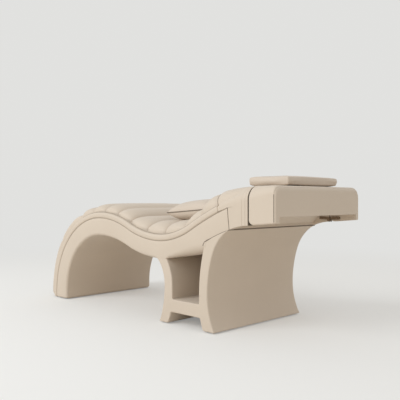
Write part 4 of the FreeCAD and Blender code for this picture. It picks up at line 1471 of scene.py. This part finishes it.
@dataclass
class ShoulderSeams:
    """Welt across the bed at the mattress's end, and dark seams about the body's end, both painted dark as
    shade of the seams and of the recess's overhang.

    The leg seam starts at a place on the underside, after a drop below it, and stands proud up to another.
    """

    shoulder: Shoulder
    welt: float = 0.0024
    welt_shrink: tuple[float, float, float] = (1.0, 0.996, 1.0)
    welt_move: tuple[float, float, float] = (-0.001, 0.0, -0.0075)
    inset: float = 0.0022
    end_cord: float = 0.0026
    leg_cord: float = 0.0024
    leg_start: float = 5.25
    leg_drop: tuple[float, float] = (0.011, 0.018)
    proud: float = 0.0028
    proud_end: float = 5.5
    proud_blend: float = 0.25
    under_cord: float = 0.0030
    under_move: float = 0.001
    under_inset: float = 0.003

    def across(self) -> bpy.types.Object:
        """Welt over the crown, along the shoulder's foot boundary from one rim to the other.

        Returns:
            The piece.
        """
        foot = self.shoulder.half_lines()[0][self.shoulder.flank_points + 1:]
        line = np.concatenate([foot, foot[-2::-1] * MIRROR]) * self.welt_shrink + self.welt_move
        sewing = Sewing()
        sewing.cord(line, self.welt, ALONG)
        return sewing.piece("shoulder_welt")

    def dark(self) -> bpy.types.Object:
        """Near-black cords down the body's end, over the rear leg and across under the recess: painted shade
        of the seams and of the recess's overhang.

        Returns:
            The piece.
        """
        plan, half = self.shoulder.plan, self.shoulder.plan.half_width
        line_end = len(plan.deck.stretches)
        place = np.linspace(self.leg_start, line_end, 40)
        under = np.stack(plan.under.at(place), axis=1)
        down = np.linspace(1.0, 0.0, 6)[:-1, None]
        leg = np.concatenate([under[0] - down * self.leg_drop, under])
        fade = ease((self.proud_end - place) / self.proud_blend)
        proud = np.concatenate([np.ones(len(down)), fade]) * self.proud
        x, z = plan.body_end
        deck_x, deck_z = plan.deck.at(line_end)
        sewing = Sewing()
        for side, _ in SIDES:
            y = side * (half - self.inset)
            end = np.linspace((x, y, z), (float(deck_x), y, float(deck_z)), 12)
            sewing.cord(end, self.end_cord, ACROSS)
            sewing.cord(spots(leg[:, 0], y + side * proud, leg[:, 1]), self.leg_cord, ACROSS)
        x, y = x + self.under_move, half - self.under_inset
        sewing.cord(np.linspace((x, -y, z), (x, y, z), 24), self.under_cord, ALONG)
        return sewing.piece("body_seam_shades")

    def build(self) -> None:
        """Makes and dresses the welt and the dark seams, both painted dark as shade."""
        # The welt across the bed is painted dark: painted shade of the crease between the mattress and the
        # shoulder.
        settle(self.across(), Body.BED, WELT_PAINTED_SHADE)
        settle(self.dark(), Body.BED, SEAM_PAINTED_SHADE)


@dataclass
class HeadSection:
    """Head section that tilts: wrapped cover, end panel, a near-black sheet on its gap face and a near-black
    cord in its groove, both painted shade.

    The end panel starts before the end of its solid and is fuller than the solid. The numbers of points are
    those of the rounded foot, the straight side and the rounded top edge of half a section.
    """

    plan: Plan
    start_x: float
    solid_end_x: float
    top_z: float
    panel_depth: float = 0.003
    fuller: float = 0.006
    corner: float = 0.065
    end_corner: float = 0.036
    low_start: float = 0.529
    low_end: float = 0.542
    recess_z: float = 0.571
    cheek: float = 0.029
    cheek_corner: float = 0.028
    edge: float = 0.007
    top_round: float = 0.028
    end_round: float = 0.010
    face_round: float = 0.006
    gap_round: float = 0.003
    groove: float = 0.0028
    seam_cord: float = 0.0026
    seam_inset: float = 0.0018
    uneven_depth: float = 0.0008
    uneven_length: float = 0.2
    uneven_band: float = 0.03
    row_spacing: float = 0.010
    side_shares: tuple[float, float] = (0.02, 0.98)
    foot_points: int = 6
    side_points: int = 9
    turn_points: int = 13

    @property
    def panel_x(self) -> float:
        """Place of the groove between the cover and the end panel."""
        return self.solid_end_x - self.panel_depth

    @property
    def end_x(self) -> float:
        """Place of the end panel's face."""
        return self.solid_end_x + self.fuller

    def low_edge(self, x: Array) -> Array:
        """Height of the cheeks' lower edge: a straight rise, rounded up at the gap."""
        rise = (self.low_end - self.low_start) / (self.end_x - self.start_x)
        return self.low_start + rise * (x - self.start_x) + draw_in(x - self.start_x, self.cheek_corner)

    def rings(self, x: Array, inset: Array) -> Array:
        """Closed sections: up one side, over the rounded top, down the other, and back round the recess.

        The sides and the top draw in towards the end by a quarter circle each, and by the inset.

        Args:
            x: Places of the sections, one row each.
            inset: How far each section is drawn in all round.

        Returns:
            The points, rows by columns by 3.
        """
        half, ones, edge = self.plan.half_width, np.ones_like(x), self.edge
        low = self.low_edge(x)
        top = self.top_z - inset - draw_in(self.end_x - x, self.top_round)
        side = half - inset - draw_in(self.end_x - x, self.end_round)
        along = ease((x - self.start_x) / (self.end_x - self.start_x))
        corner = self.corner + (self.end_corner - self.corner) * along
        straight = top - corner
        foot, turn = quarter(self.foot_points) - math.pi / 2.0, quarter(self.turn_points)
        rise = np.linspace(*self.side_shares, self.side_points)
        y_half = np.concatenate([side - edge + edge * np.cos(foot), side * np.ones(rise.size),
                                 side - corner + corner * np.cos(turn)], axis=1)
        z_half = np.concatenate([low + edge + edge * np.sin(foot),
                                 low + edge + (straight - low - edge) * rise,
                                 straight + corner * np.sin(turn)], axis=1)
        flat = np.linspace(1.0, -1.0, 26)[1:-1]
        inner = half - self.cheek
        wall = np.linspace(1.0, 0.0, 6)
        in_z = low + (self.recess_z - low) * wall
        in_y = inner * ones * np.ones(wall.size)
        roof_y = inner * ones * np.linspace(-1.0, 1.0, 14)[1:-1]
        y = np.concatenate([y_half, (side - corner) * flat, -y_half[:, ::-1], -in_y, roof_y, in_y], axis=1)
        z = np.concatenate([z_half, top * np.ones(flat.size), z_half[:, ::-1], in_z[:, ::-1],
                            self.recess_z * np.ones_like(roof_y), in_z], axis=1)
        points = spots(x, y, z)
        near_top = points[..., 2] > self.top_z - self.uneven_band
        points[..., 2] += unevenness(points, self.uneven_length, 8) * self.uneven_depth * near_top
        return points

    def build(self) -> None:
        """Makes and dresses the cover and the end panel, with a sewn groove between them whose near-black cord
        is painted shade.
        """
        cut = self.groove * np.linspace(0.0, 1.0, 6)
        x = np.concatenate([even_rows(self.start_x, self.panel_x, self.row_spacing, self.row_spacing),
                            self.panel_x - cut])
        x = np.unique(x)[:, None]
        inset = draw_in(x - self.start_x, self.gap_round) + draw_in(self.panel_x - x, self.groove)
        cover = self.rings(x, inset)
        settle(Sewing.shell(cover, "head_wrap", SEWN_EDGE), Body.HEADREST, BEIGE,
               ["headrest_cover", "headrest_lining"])
        # A near-black sheet over the head's gap face: painted shade deep in the gap.
        paint_gap_shade(cover[:1], -GAP_SHADE_THICKNESS, "head_gap_painted_shade", Body.HEADREST)
        groove = self.rings(np.array([[self.panel_x]]), np.array([[self.seam_inset]]))[0]
        line = groove[self.foot_points - 1:self.foot_points + self.side_points + 2]
        # A near-black cord in the groove: painted shade of the groove.
        seam = Sewing()
        for side, _ in SIDES:
            seam.cord(line * (1.0, side, 1.0), self.seam_cord, ALONG)
        settle(seam.piece("head_panel_seam_shade"), Body.HEADREST, SEAM_PAINTED_SHADE)
        x = np.concatenate([self.panel_x + cut, self.end_x - self.face_round * (1.0 - np.sin(quarter(10)))])
        x = np.unique(x)[:, None]
        panel = self.rings(x, draw_in(x - self.panel_x, self.groove))
        settle(Sewing.shell(panel, "head_end_panel", SEWN_EDGE), Body.HEADREST, BEIGE,
               ["headrest_end_panel"])


@dataclass
class Pedestal:
    """Pedestal in one wrap: two curved legs joined by a shelf.

    Waists and knees are points of the side view. Flares are how far an edge leans out at the floor and, where
    there is a second one, at the top.
    """

    plan: Plan
    front_waist: tuple[float, float] = (0.225, 0.200)
    front_flares: tuple[float, float] = (0.041, 0.064)
    front_inner_flares: tuple[float, float] = (0.038, 0.050)
    front_top_z: float = 0.343
    front_thickness: float = 0.062
    rear_waist: tuple[float, float] = (0.541, 0.180)
    rear_flare: float = 0.050
    rear_knee: tuple[float, float] = (0.573, 0.373)
    rear_thickness: float = 0.058
    rear_inner_flares: tuple[float, float] = (0.029, 0.068)
    shelf: tuple[float, float] = (0.065, 0.132)
    overlap: float = 0.003
    outer_round: float = 0.007
    bay_round: float = 0.006
    seam_round: float = 0.004
    round_room: float = 0.75
    core_inset: float = 1.1
    softened: int = 5
    under_span: tuple[float, float] = (3.2, 6.0)
    edge_points: int = 60
    line_points: int = 701

    def under_z(self, x: Array) -> Array:
        """Height of the wrap's hidden top over a place, a little inside the body's underside."""
        under_x, under_z = self.plan.under.at(np.linspace(*self.under_span, 800))
        return np.interp(x, under_x, under_z) + self.overlap

    def trimmed(self, runs: Sequence[Array]) -> Array:
        """Part of a leg's edge between the floor gap and the body.

        Args:
            runs: Lines of the edge, from the floor up.

        Returns:
            The edge's points, one row each.
        """
        fine = resampled(np.concatenate(runs), 500)
        kept = fine[(fine[:, 1] > self.plan.floor) & (fine[:, 1] < self.under_z(fine[:, 0]))]
        return resampled(kept, self.edge_points)

    def edge(self, low: tuple[float, float], floor_x: float, high: tuple[float, float],
             ends: Sequence[tuple[float, float]]) -> Array:
        """Edge of a leg: bent down to the floor from one upright point, and up from another through its ends.

        Args:
            low: Point where the lower bend starts.
            floor_x: Place where it would reach the floor.
            high: Point where the upper bend starts.
            ends: Points where the upper arcs end, each arc tangent to the one before.

        Returns:
            The edge's points from the floor to the body, one row each.
        """
        runs = [tangent_arc(low, (0.0, -1.0), (floor_x, 0.0))[::-1]]
        start, direction = high, (0.0, 1.0)
        for end in ends:
            arc = tangent_arc(start, direction, end)
            runs.append(arc)
            start, direction = end, arc[-1] - arc[-2]
        return self.trimmed(runs)

    def outline(self) -> tuple[Array, Array]:
        """Side view of the wrap, with the vector by which each point's rounded edge draws in.

        The edges of both legs are joined by the shelf's lines, the soles and the hidden tops, and a running
        mean softens the corners. A vector is the inward normal times the edge's radius, which stays under
        that of the largest circle that touches the point from inside, the least of distance² / (2 · distance
        along the normal) to the other points.

        Returns:
            The points and the vectors, one row each, running anticlockwise.
        """
        (low, high), end = self.shelf, self.plan.body_end
        x, z = self.front_waist
        front_out = self.edge((x, z), x - self.front_flares[0], (x, z),
                              [(x - self.front_flares[1], self.front_top_z)])
        x += self.front_thickness
        front_in = self.edge((x, high), x - self.front_inner_flares[0], (x, z),
                             [(x - self.front_inner_flares[1], self.front_top_z)])
        x, z = self.rear_waist
        rear_out = self.edge((x, z), x + self.rear_flare, (x, z), [self.rear_knee, end])
        x -= self.rear_thickness
        rear_in = self.edge((x, high), x + self.rear_inner_flares[0], (x, z),
                            [(x + self.rear_inner_flares[1], end[1])])
        tops = [np.linspace(a[-1], b[-1], 30)[1:-1] for a, b in ((rear_out, rear_in), (front_in, front_out))]
        for top in tops:
            top[:, 1] = self.under_z(top[:, 0])
        at = {(name, level): np.array([[np.interp(level, line[:, 1], line[:, 0]), level]])
              for name, line in (("front", front_in), ("rear", rear_in)) for level in self.shelf}
        bay = np.concatenate([rear_in[rear_in[:, 1] > high][::-1], at["rear", high], at["front", high],
                              front_in[front_in[:, 1] > high]])
        below = np.concatenate([front_in[front_in[:, 1] < low], at["front", low], at["rear", low],
                                rear_in[rear_in[:, 1] < low][::-1]])
        runs = [(rear_out, self.outer_round), (tops[0], self.seam_round), (bay, self.bay_round),
                (tops[1], self.seam_round), (front_out[::-1], self.outer_round), (below, self.bay_round)]
        line = np.concatenate([np.column_stack([run, np.full(len(run), radius)]) for run, radius in runs])
        line = resampled(np.concatenate([line, line[:1]]), self.line_points)[:-1]
        line = running(line, self.softened, np.mean)
        side = inward(line[:, :2])
        apart = line[None, :, :2] - line[:, None, :2]
        ahead, least = np.einsum("ijk,ik->ij", apart, side), 1e-7
        room = np.where(ahead > least, (apart ** 2).sum(axis=-1) / np.maximum(2.0 * ahead, least), 1.0)
        radius = np.minimum(line[:, 2], self.round_room * room.min(axis=1))[:, None]
        radius = running(running(radius, self.softened, np.min), self.softened, np.mean)
        return line[:, :2], side * radius

    def build(self) -> None:
        """The outline carried across the bed, its edges drawn in by a quarter circle at both sides."""
        outline, vectors = self.outline()
        half, radius = self.plan.half_width, self.outer_round
        turn = quarter(9)
        edge_y, edge_in = half - radius + radius * np.cos(turn), 1.0 - np.sin(turn)
        middle = np.linspace(half - radius, radius - half, 20)[1:-1]
        y = np.concatenate([[half], edge_y, middle, -edge_y[::-1], [-half]])[:, None]
        core = [self.core_inset]
        inset = np.concatenate([core, edge_in, np.zeros(middle.size), edge_in[::-1], core])
        plane = outline + vectors * inset[:, None, None]
        piece = Sewing.shell(spots(plane[..., 0], y, plane[..., 1]), "pedestal_wrap", SEWN_EDGE)
        settle(piece, Body.BED, BEIGE,
               ["front_leg_cover", "rear_leg_cover", "shelf_cover"])


@dataclass
class NeckPillow:
    """Firm flat pillow across the gap of the head section, a little larger than its solid."""

    low: Array
    high: Array
    corner: float = 0.005
    foot: float = 0.010
    edge: float = 0.005
    waist: float = 0.002
    bulge: float = 0.0015
    crown: float = 0.003
    spare: float = 0.005
    spacing: float = 0.008
    ring_scales: tuple[float, float] = (0.08, 0.97)

    def build(self) -> None:
        """Plan outline with small corners, drawn in along its sides, raised through rings to a crowned top.

        Rings run from the middle of the underside out to the edge, up the side, which bulges by a sine, and
        in over the top, where the height falls off with the square of the distance from the middle.
        """
        low, high, foot, edge = self.low, self.high, self.foot, self.edge
        middle, reach = (low + high) / 2.0, (high - low) / 2.0
        signs = ((-1.0, -1.0), (1.0, -1.0), (1.0, 1.0), (-1.0, 1.0))
        outline = rounded_loop([(reach[0] * x, reach[1] * y, self.corner) for x, y in signs], self.spacing)
        drawn = np.cos(outline[:, ::-1] / reach[1::-1] * math.pi / 2.0) ** 2
        outline -= np.sign(outline) * self.waist * drawn
        turn, wall = quarter(6), np.linspace(0.0, 1.0, 6)[1:-1]
        foot_z, brow_z = low[2] + foot, high[2] - self.crown - edge
        inset = np.concatenate([foot * (1.0 - np.sin(turn)), -self.bulge * np.sin(wall * math.pi),
                                edge * (1.0 - np.cos(turn))])
        level = np.concatenate([foot_z - foot * np.cos(turn), foot_z + (brow_z - foot_z) * wall,
                                brow_z + edge * np.sin(turn)])
        rim = outline + inward(outline) * inset[:, None, None]
        scale = np.linspace(*self.ring_scales, 13)
        plane = np.concatenate([rim[0] * scale[:, None, None], rim, rim[-1] * scale[::-1, None, None]])
        crowned = high[2] - self.crown * scale[::-1] ** 2
        z = np.concatenate([np.full(scale.size, low[2]), level, crowned])[:, None]
        rings = spots(plane[..., 0] + middle[0], plane[..., 1] + middle[1], z)
        piece = Sewing.shell(rings, "neck_pillow_pad")
        Inflation(pressure=2.0, cap=0.003, bending=3.0).swell(piece)
        points = Inflation.read(piece)
        least, most = points.min(axis=0), points.max(axis=0)
        first, last = low - (self.spare, self.spare, 0.0), high + self.spare
        Inflation.write(piece, first + (points - least) * ((last - first) / (most - least)))
        settle(piece, Body.NECK_PILLOW, PILLOW_SKIN, ["neck_pillow"])


@dataclass
class LumbarPillow:
    """Loose cushion in the valley: two sheets sewn round their edge, with a welt in the seam that is painted
    near-black as the shade under the upper sheet.
    """

    mattress: Mattress
    low: Array
    high: Array
    seam_z: float = 0.573
    tilt: float = 0.075
    rise: float = 0.060
    fall: float = 0.060
    pinch: float = 0.010
    corner: float = 0.015
    welt: float = 0.0024
    seat_gap: float = 0.001
    sewn_reach: float = 0.0005
    crisp: float = 75.0
    closeness: float = 0.55
    steps: int = 41

    def seat(self, x: Array) -> Array:
        """Height of the mattress's top under places in the valley.

        Args:
            x: Places along the bed.

        Returns:
            One height for each place, a little over the mattress.
        """
        deck, valley = self.mattress.plan.deck, (3, 5)
        distance = np.linspace(*deck.marks[list(valley)], 300)
        top_x, top_z = deck.at(deck.position(distance), self.mattress.top(distance))
        return np.interp(x, top_x, top_z) + self.seat_gap

    def seam(self, x: Array) -> Array:
        """Height of the tilted seam."""
        return self.seam_z + self.tilt * (x - self.low[0])

    def sheet(self, u: Array, v: Array, height: float) -> Array:
        """Half of the cushion: the root of (1 - u⁴)(1 - v⁴) of a height from the tilted seam.

        The sides draw in between the corners by a parabola, and the corners by the eighth power.

        Args:
            u: Places along the bed, from -1 to 1.
            v: Places across the bed, from -1 to 1.
            height: Height in the middle, negative for the lower half.

        Returns:
            The points, rows by columns by 3.
        """
        middle, reach = (self.low + self.high) / 2.0, (self.high - self.low) / 2.0
        x = u * (reach[0] - self.pinch * (1.0 - v ** 2)) * (1.0 - self.corner * v ** 8) + middle[0]
        y = v * (reach[1] - self.pinch * (1.0 - u ** 2)) * (1.0 - self.corner * u ** 8) + middle[1]
        full = np.sqrt((1.0 - u ** 4) * (1.0 - v ** 4))
        return spots(x, y, np.maximum(self.seam(x) + height * full, self.seat(x)))

    def build(self) -> None:
        """Makes both sheets, swells them by their filling and rests them on the mattress; adds the welt."""
        step = np.linspace(-1.0, 1.0, self.steps)
        close = self.closeness * np.sin(step * math.pi / 2.0) + (1.0 - self.closeness) * step
        u, v = np.meshgrid(close, close, indexing="ij")
        upper, lower = self.sheet(u, v, self.rise), self.sheet(u, v, -self.fall)
        sewing = Sewing()
        sewing.grid(upper)
        sewing.grid(lower)
        piece = sewing.piece("lumbar_pillow_pad", self.crisp)
        rest = Inflation.read(piece)
        sewn = np.abs(rest[:, 2] - self.seam(rest[:, 0])) < self.sewn_reach
        Inflation(pressure=3.0, cap=0.006).swell(piece, sewn.astype(float))
        points = Inflation.read(piece)
        points[:, 2] = np.maximum(points[:, 2], self.seat(points[:, 0]))
        Inflation.write(piece, points)
        settle(piece, Body.LUMBAR_PILLOW, PILLOW_SKIN, ["lumbar_pillow"])
        loop = np.concatenate([upper[:-1, 0], upper[-1, :-1], upper[:0:-1, -1], upper[0, :0:-1]])
        # The welt is a real cord; its near-black colour is painted shade under the upper sheet.
        edge = Sewing()
        edge.cord(loop, self.welt, UP, closed=True)
        settle(edge.piece("lumbar_pillow_welt"), Body.LUMBAR_PILLOW, SEAM_PAINTED_SHADE)


def dress_frame() -> None:
    """Gives the frame's own solids their finishes by the words in their names."""
    finishes = {"hinge": HINGE_METAL, "bolts": HINGE_METAL, "glides": GLIDE_PLASTIC}
    for name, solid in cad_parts.items():
        finish = next((value for word, value in finishes.items() if word in name), BIRCH)
        for place in solid.material_slots:
            place.material = finish.material()
        LOG.info("solid %s is dressed in %s", name, finish.name)


@dataclass
class Studio:
    """Pale floor, soft light and the camera."""

    eye: tuple[float, float, float] = (2.433, -2.256, 0.645)
    yaw: float = 45.5
    lens: float = 50.0
    sensor: float = 36.0
    floor_colour: Colour = (0.90, 0.90, 0.89, 1.0)
    far_colour: Colour = (0.755, 0.755, 0.74, 1.0)
    floor_radii: tuple[float, ...] = (0.01, 1.5, 4.0, 12.0, 40.0)
    fade: tuple[float, float] = (1.6, 5.0)
    painted_floor_light: float = 0.3
    floor_roughness: float = 0.9
    floor_shine: float = 0.1
    key_place: tuple[float, float, float] = (-1.2, -6.5, 4.8)
    key_aim: tuple[float, float, float] = (0.0, 0.0, 0.35)
    key_size: float = 4.5
    key_power: float = 284.0
    key_colour: tuple[float, float, float] = (0.955, 1.0, 1.03)
    fill: float = 0.70
    fill_colour: Colour = (1.0, 0.973, 0.93, 1.0)
    bounce_colour: Colour = (0.80, 0.75, 0.68, 1.0)

    def camera(self) -> None:
        """Camera at eye height, level, turned to the bed."""
        data = bpy.data.cameras.new("camera")
        data.lens, data.sensor_width = self.lens, self.sensor
        camera = bpy.data.objects.new("camera", data)
        camera.location = self.eye
        camera.rotation_euler = (math.pi / 2.0, 0.0, math.radians(self.yaw))
        bpy.context.scene.collection.objects.link(camera)
        bpy.context.scene.camera = camera

    def floor(self) -> None:
        """Round floor that fades into the backdrop's colour far from the bed. Near the bed it also glows a
        little to the camera, painted light that lightens the shadows on it.
        """
        angle, radius = circle(64), np.array(self.floor_radii)[:, None]
        sewing = Sewing()
        numbers = sewing.grid(spots(radius * np.cos(angle), radius * np.sin(angle), 0.0), wrap=True)
        sewing.faces.append(numbers[0].tolist())
        floor = sewing.piece("studio_floor", SOFT_EDGE)
        material = bpy.data.materials.new("studio_floor")
        nodes = Nodes(material)
        reach = nodes.node("ShaderNodeVectorMath", {"operation": "LENGTH"}, {0: nodes.place()}, "Value")
        far = nodes.node("ShaderNodeMapRange", {"interpolation_type": "SMOOTHSTEP"},
                         {"Value": reach, "From Min": self.fade[0], "From Max": self.fade[1]})
        seen = nodes.seen()
        matt = nodes.matter({"Base Color": nodes.mix(seen, self.bounce_colour, self.floor_colour),
                             "Roughness": self.floor_roughness, "Specular IOR Level": self.floor_shine})
        glow = nodes.node("ShaderNodeEmission", {}, {"Color": self.far_colour})
        # Even near the bed a share of the floor glows to the camera: painted light that lightens its shadows.
        share = (far * (1.0 - self.painted_floor_light) + self.painted_floor_light) * seen
        nodes.surface(nodes.node("ShaderNodeMixShader", {}, {0: share, 1: matt, 2: glow}))
        floor.data.materials.append(material)

    def light(self) -> None:
        """Broad soft key from the near left and an even sky, which shows as the backdrop where it is seen."""
        key = bpy.data.lights.new("key", "AREA")
        key.shape, key.size, key.energy, key.color = "DISK", self.key_size, self.key_power, self.key_colour
        lamp = bpy.data.objects.new("key", key)
        lamp.location = self.key_place
        aim = np.array(self.key_aim) - np.array(self.key_place)
        lamp.rotation_euler = (math.atan2(math.hypot(aim[0], aim[1]), -aim[2]), 0.0,
                               math.atan2(aim[1], aim[0]) - math.pi / 2.0)
        bpy.context.scene.collection.objects.link(lamp)
        world = bpy.data.worlds.new("studio")
        bpy.context.scene.world = world
        nodes = Nodes(world)
        sky = nodes.node("ShaderNodeBackground", {}, {"Color": self.fill_colour, "Strength": self.fill})
        back = nodes.node("ShaderNodeBackground", {}, {"Color": self.far_colour, "Strength": 1.0})
        mixed = nodes.node("ShaderNodeMixShader", {}, {0: nodes.seen(), 1: sky, 2: back})
        nodes.node("ShaderNodeOutputWorld", {}, {"Surface": mixed})
        bpy.context.scene.view_settings.view_transform = "Standard"

    def build(self) -> None:
        """Makes the camera, the floor and the light."""
        self.camera()
        self.floor()
        self.light()


def main() -> None:
    """Builds the pieces in order."""
    logging.basicConfig(level=logging.INFO, format="%(name)s: %(message)s")
    Studio().build()
    plan = Plan.from_frame()
    mattress = Mattress(plan)
    mattress.build()
    BodyWrap(plan).build()
    shoulder_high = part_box("shoulder_cover")[1]
    shoulder = Shoulder(plan, mattress, shoulder_high.x, shoulder_high.z)
    shoulder.build()
    ShoulderSeams(shoulder).build()
    head_low, head_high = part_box("headrest_cover")
    HeadSection(plan, head_low.x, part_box("headrest_end_panel")[1].x, head_high.z).build()
    Pedestal(plan).build()
    NeckPillow(*(np.array(corner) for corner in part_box("neck_pillow"))).build()
    LumbarPillow(mattress, *(np.array(corner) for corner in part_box("lumbar_pillow"))).build()
    dress_frame()


if __name__ == "__main__":
    main()
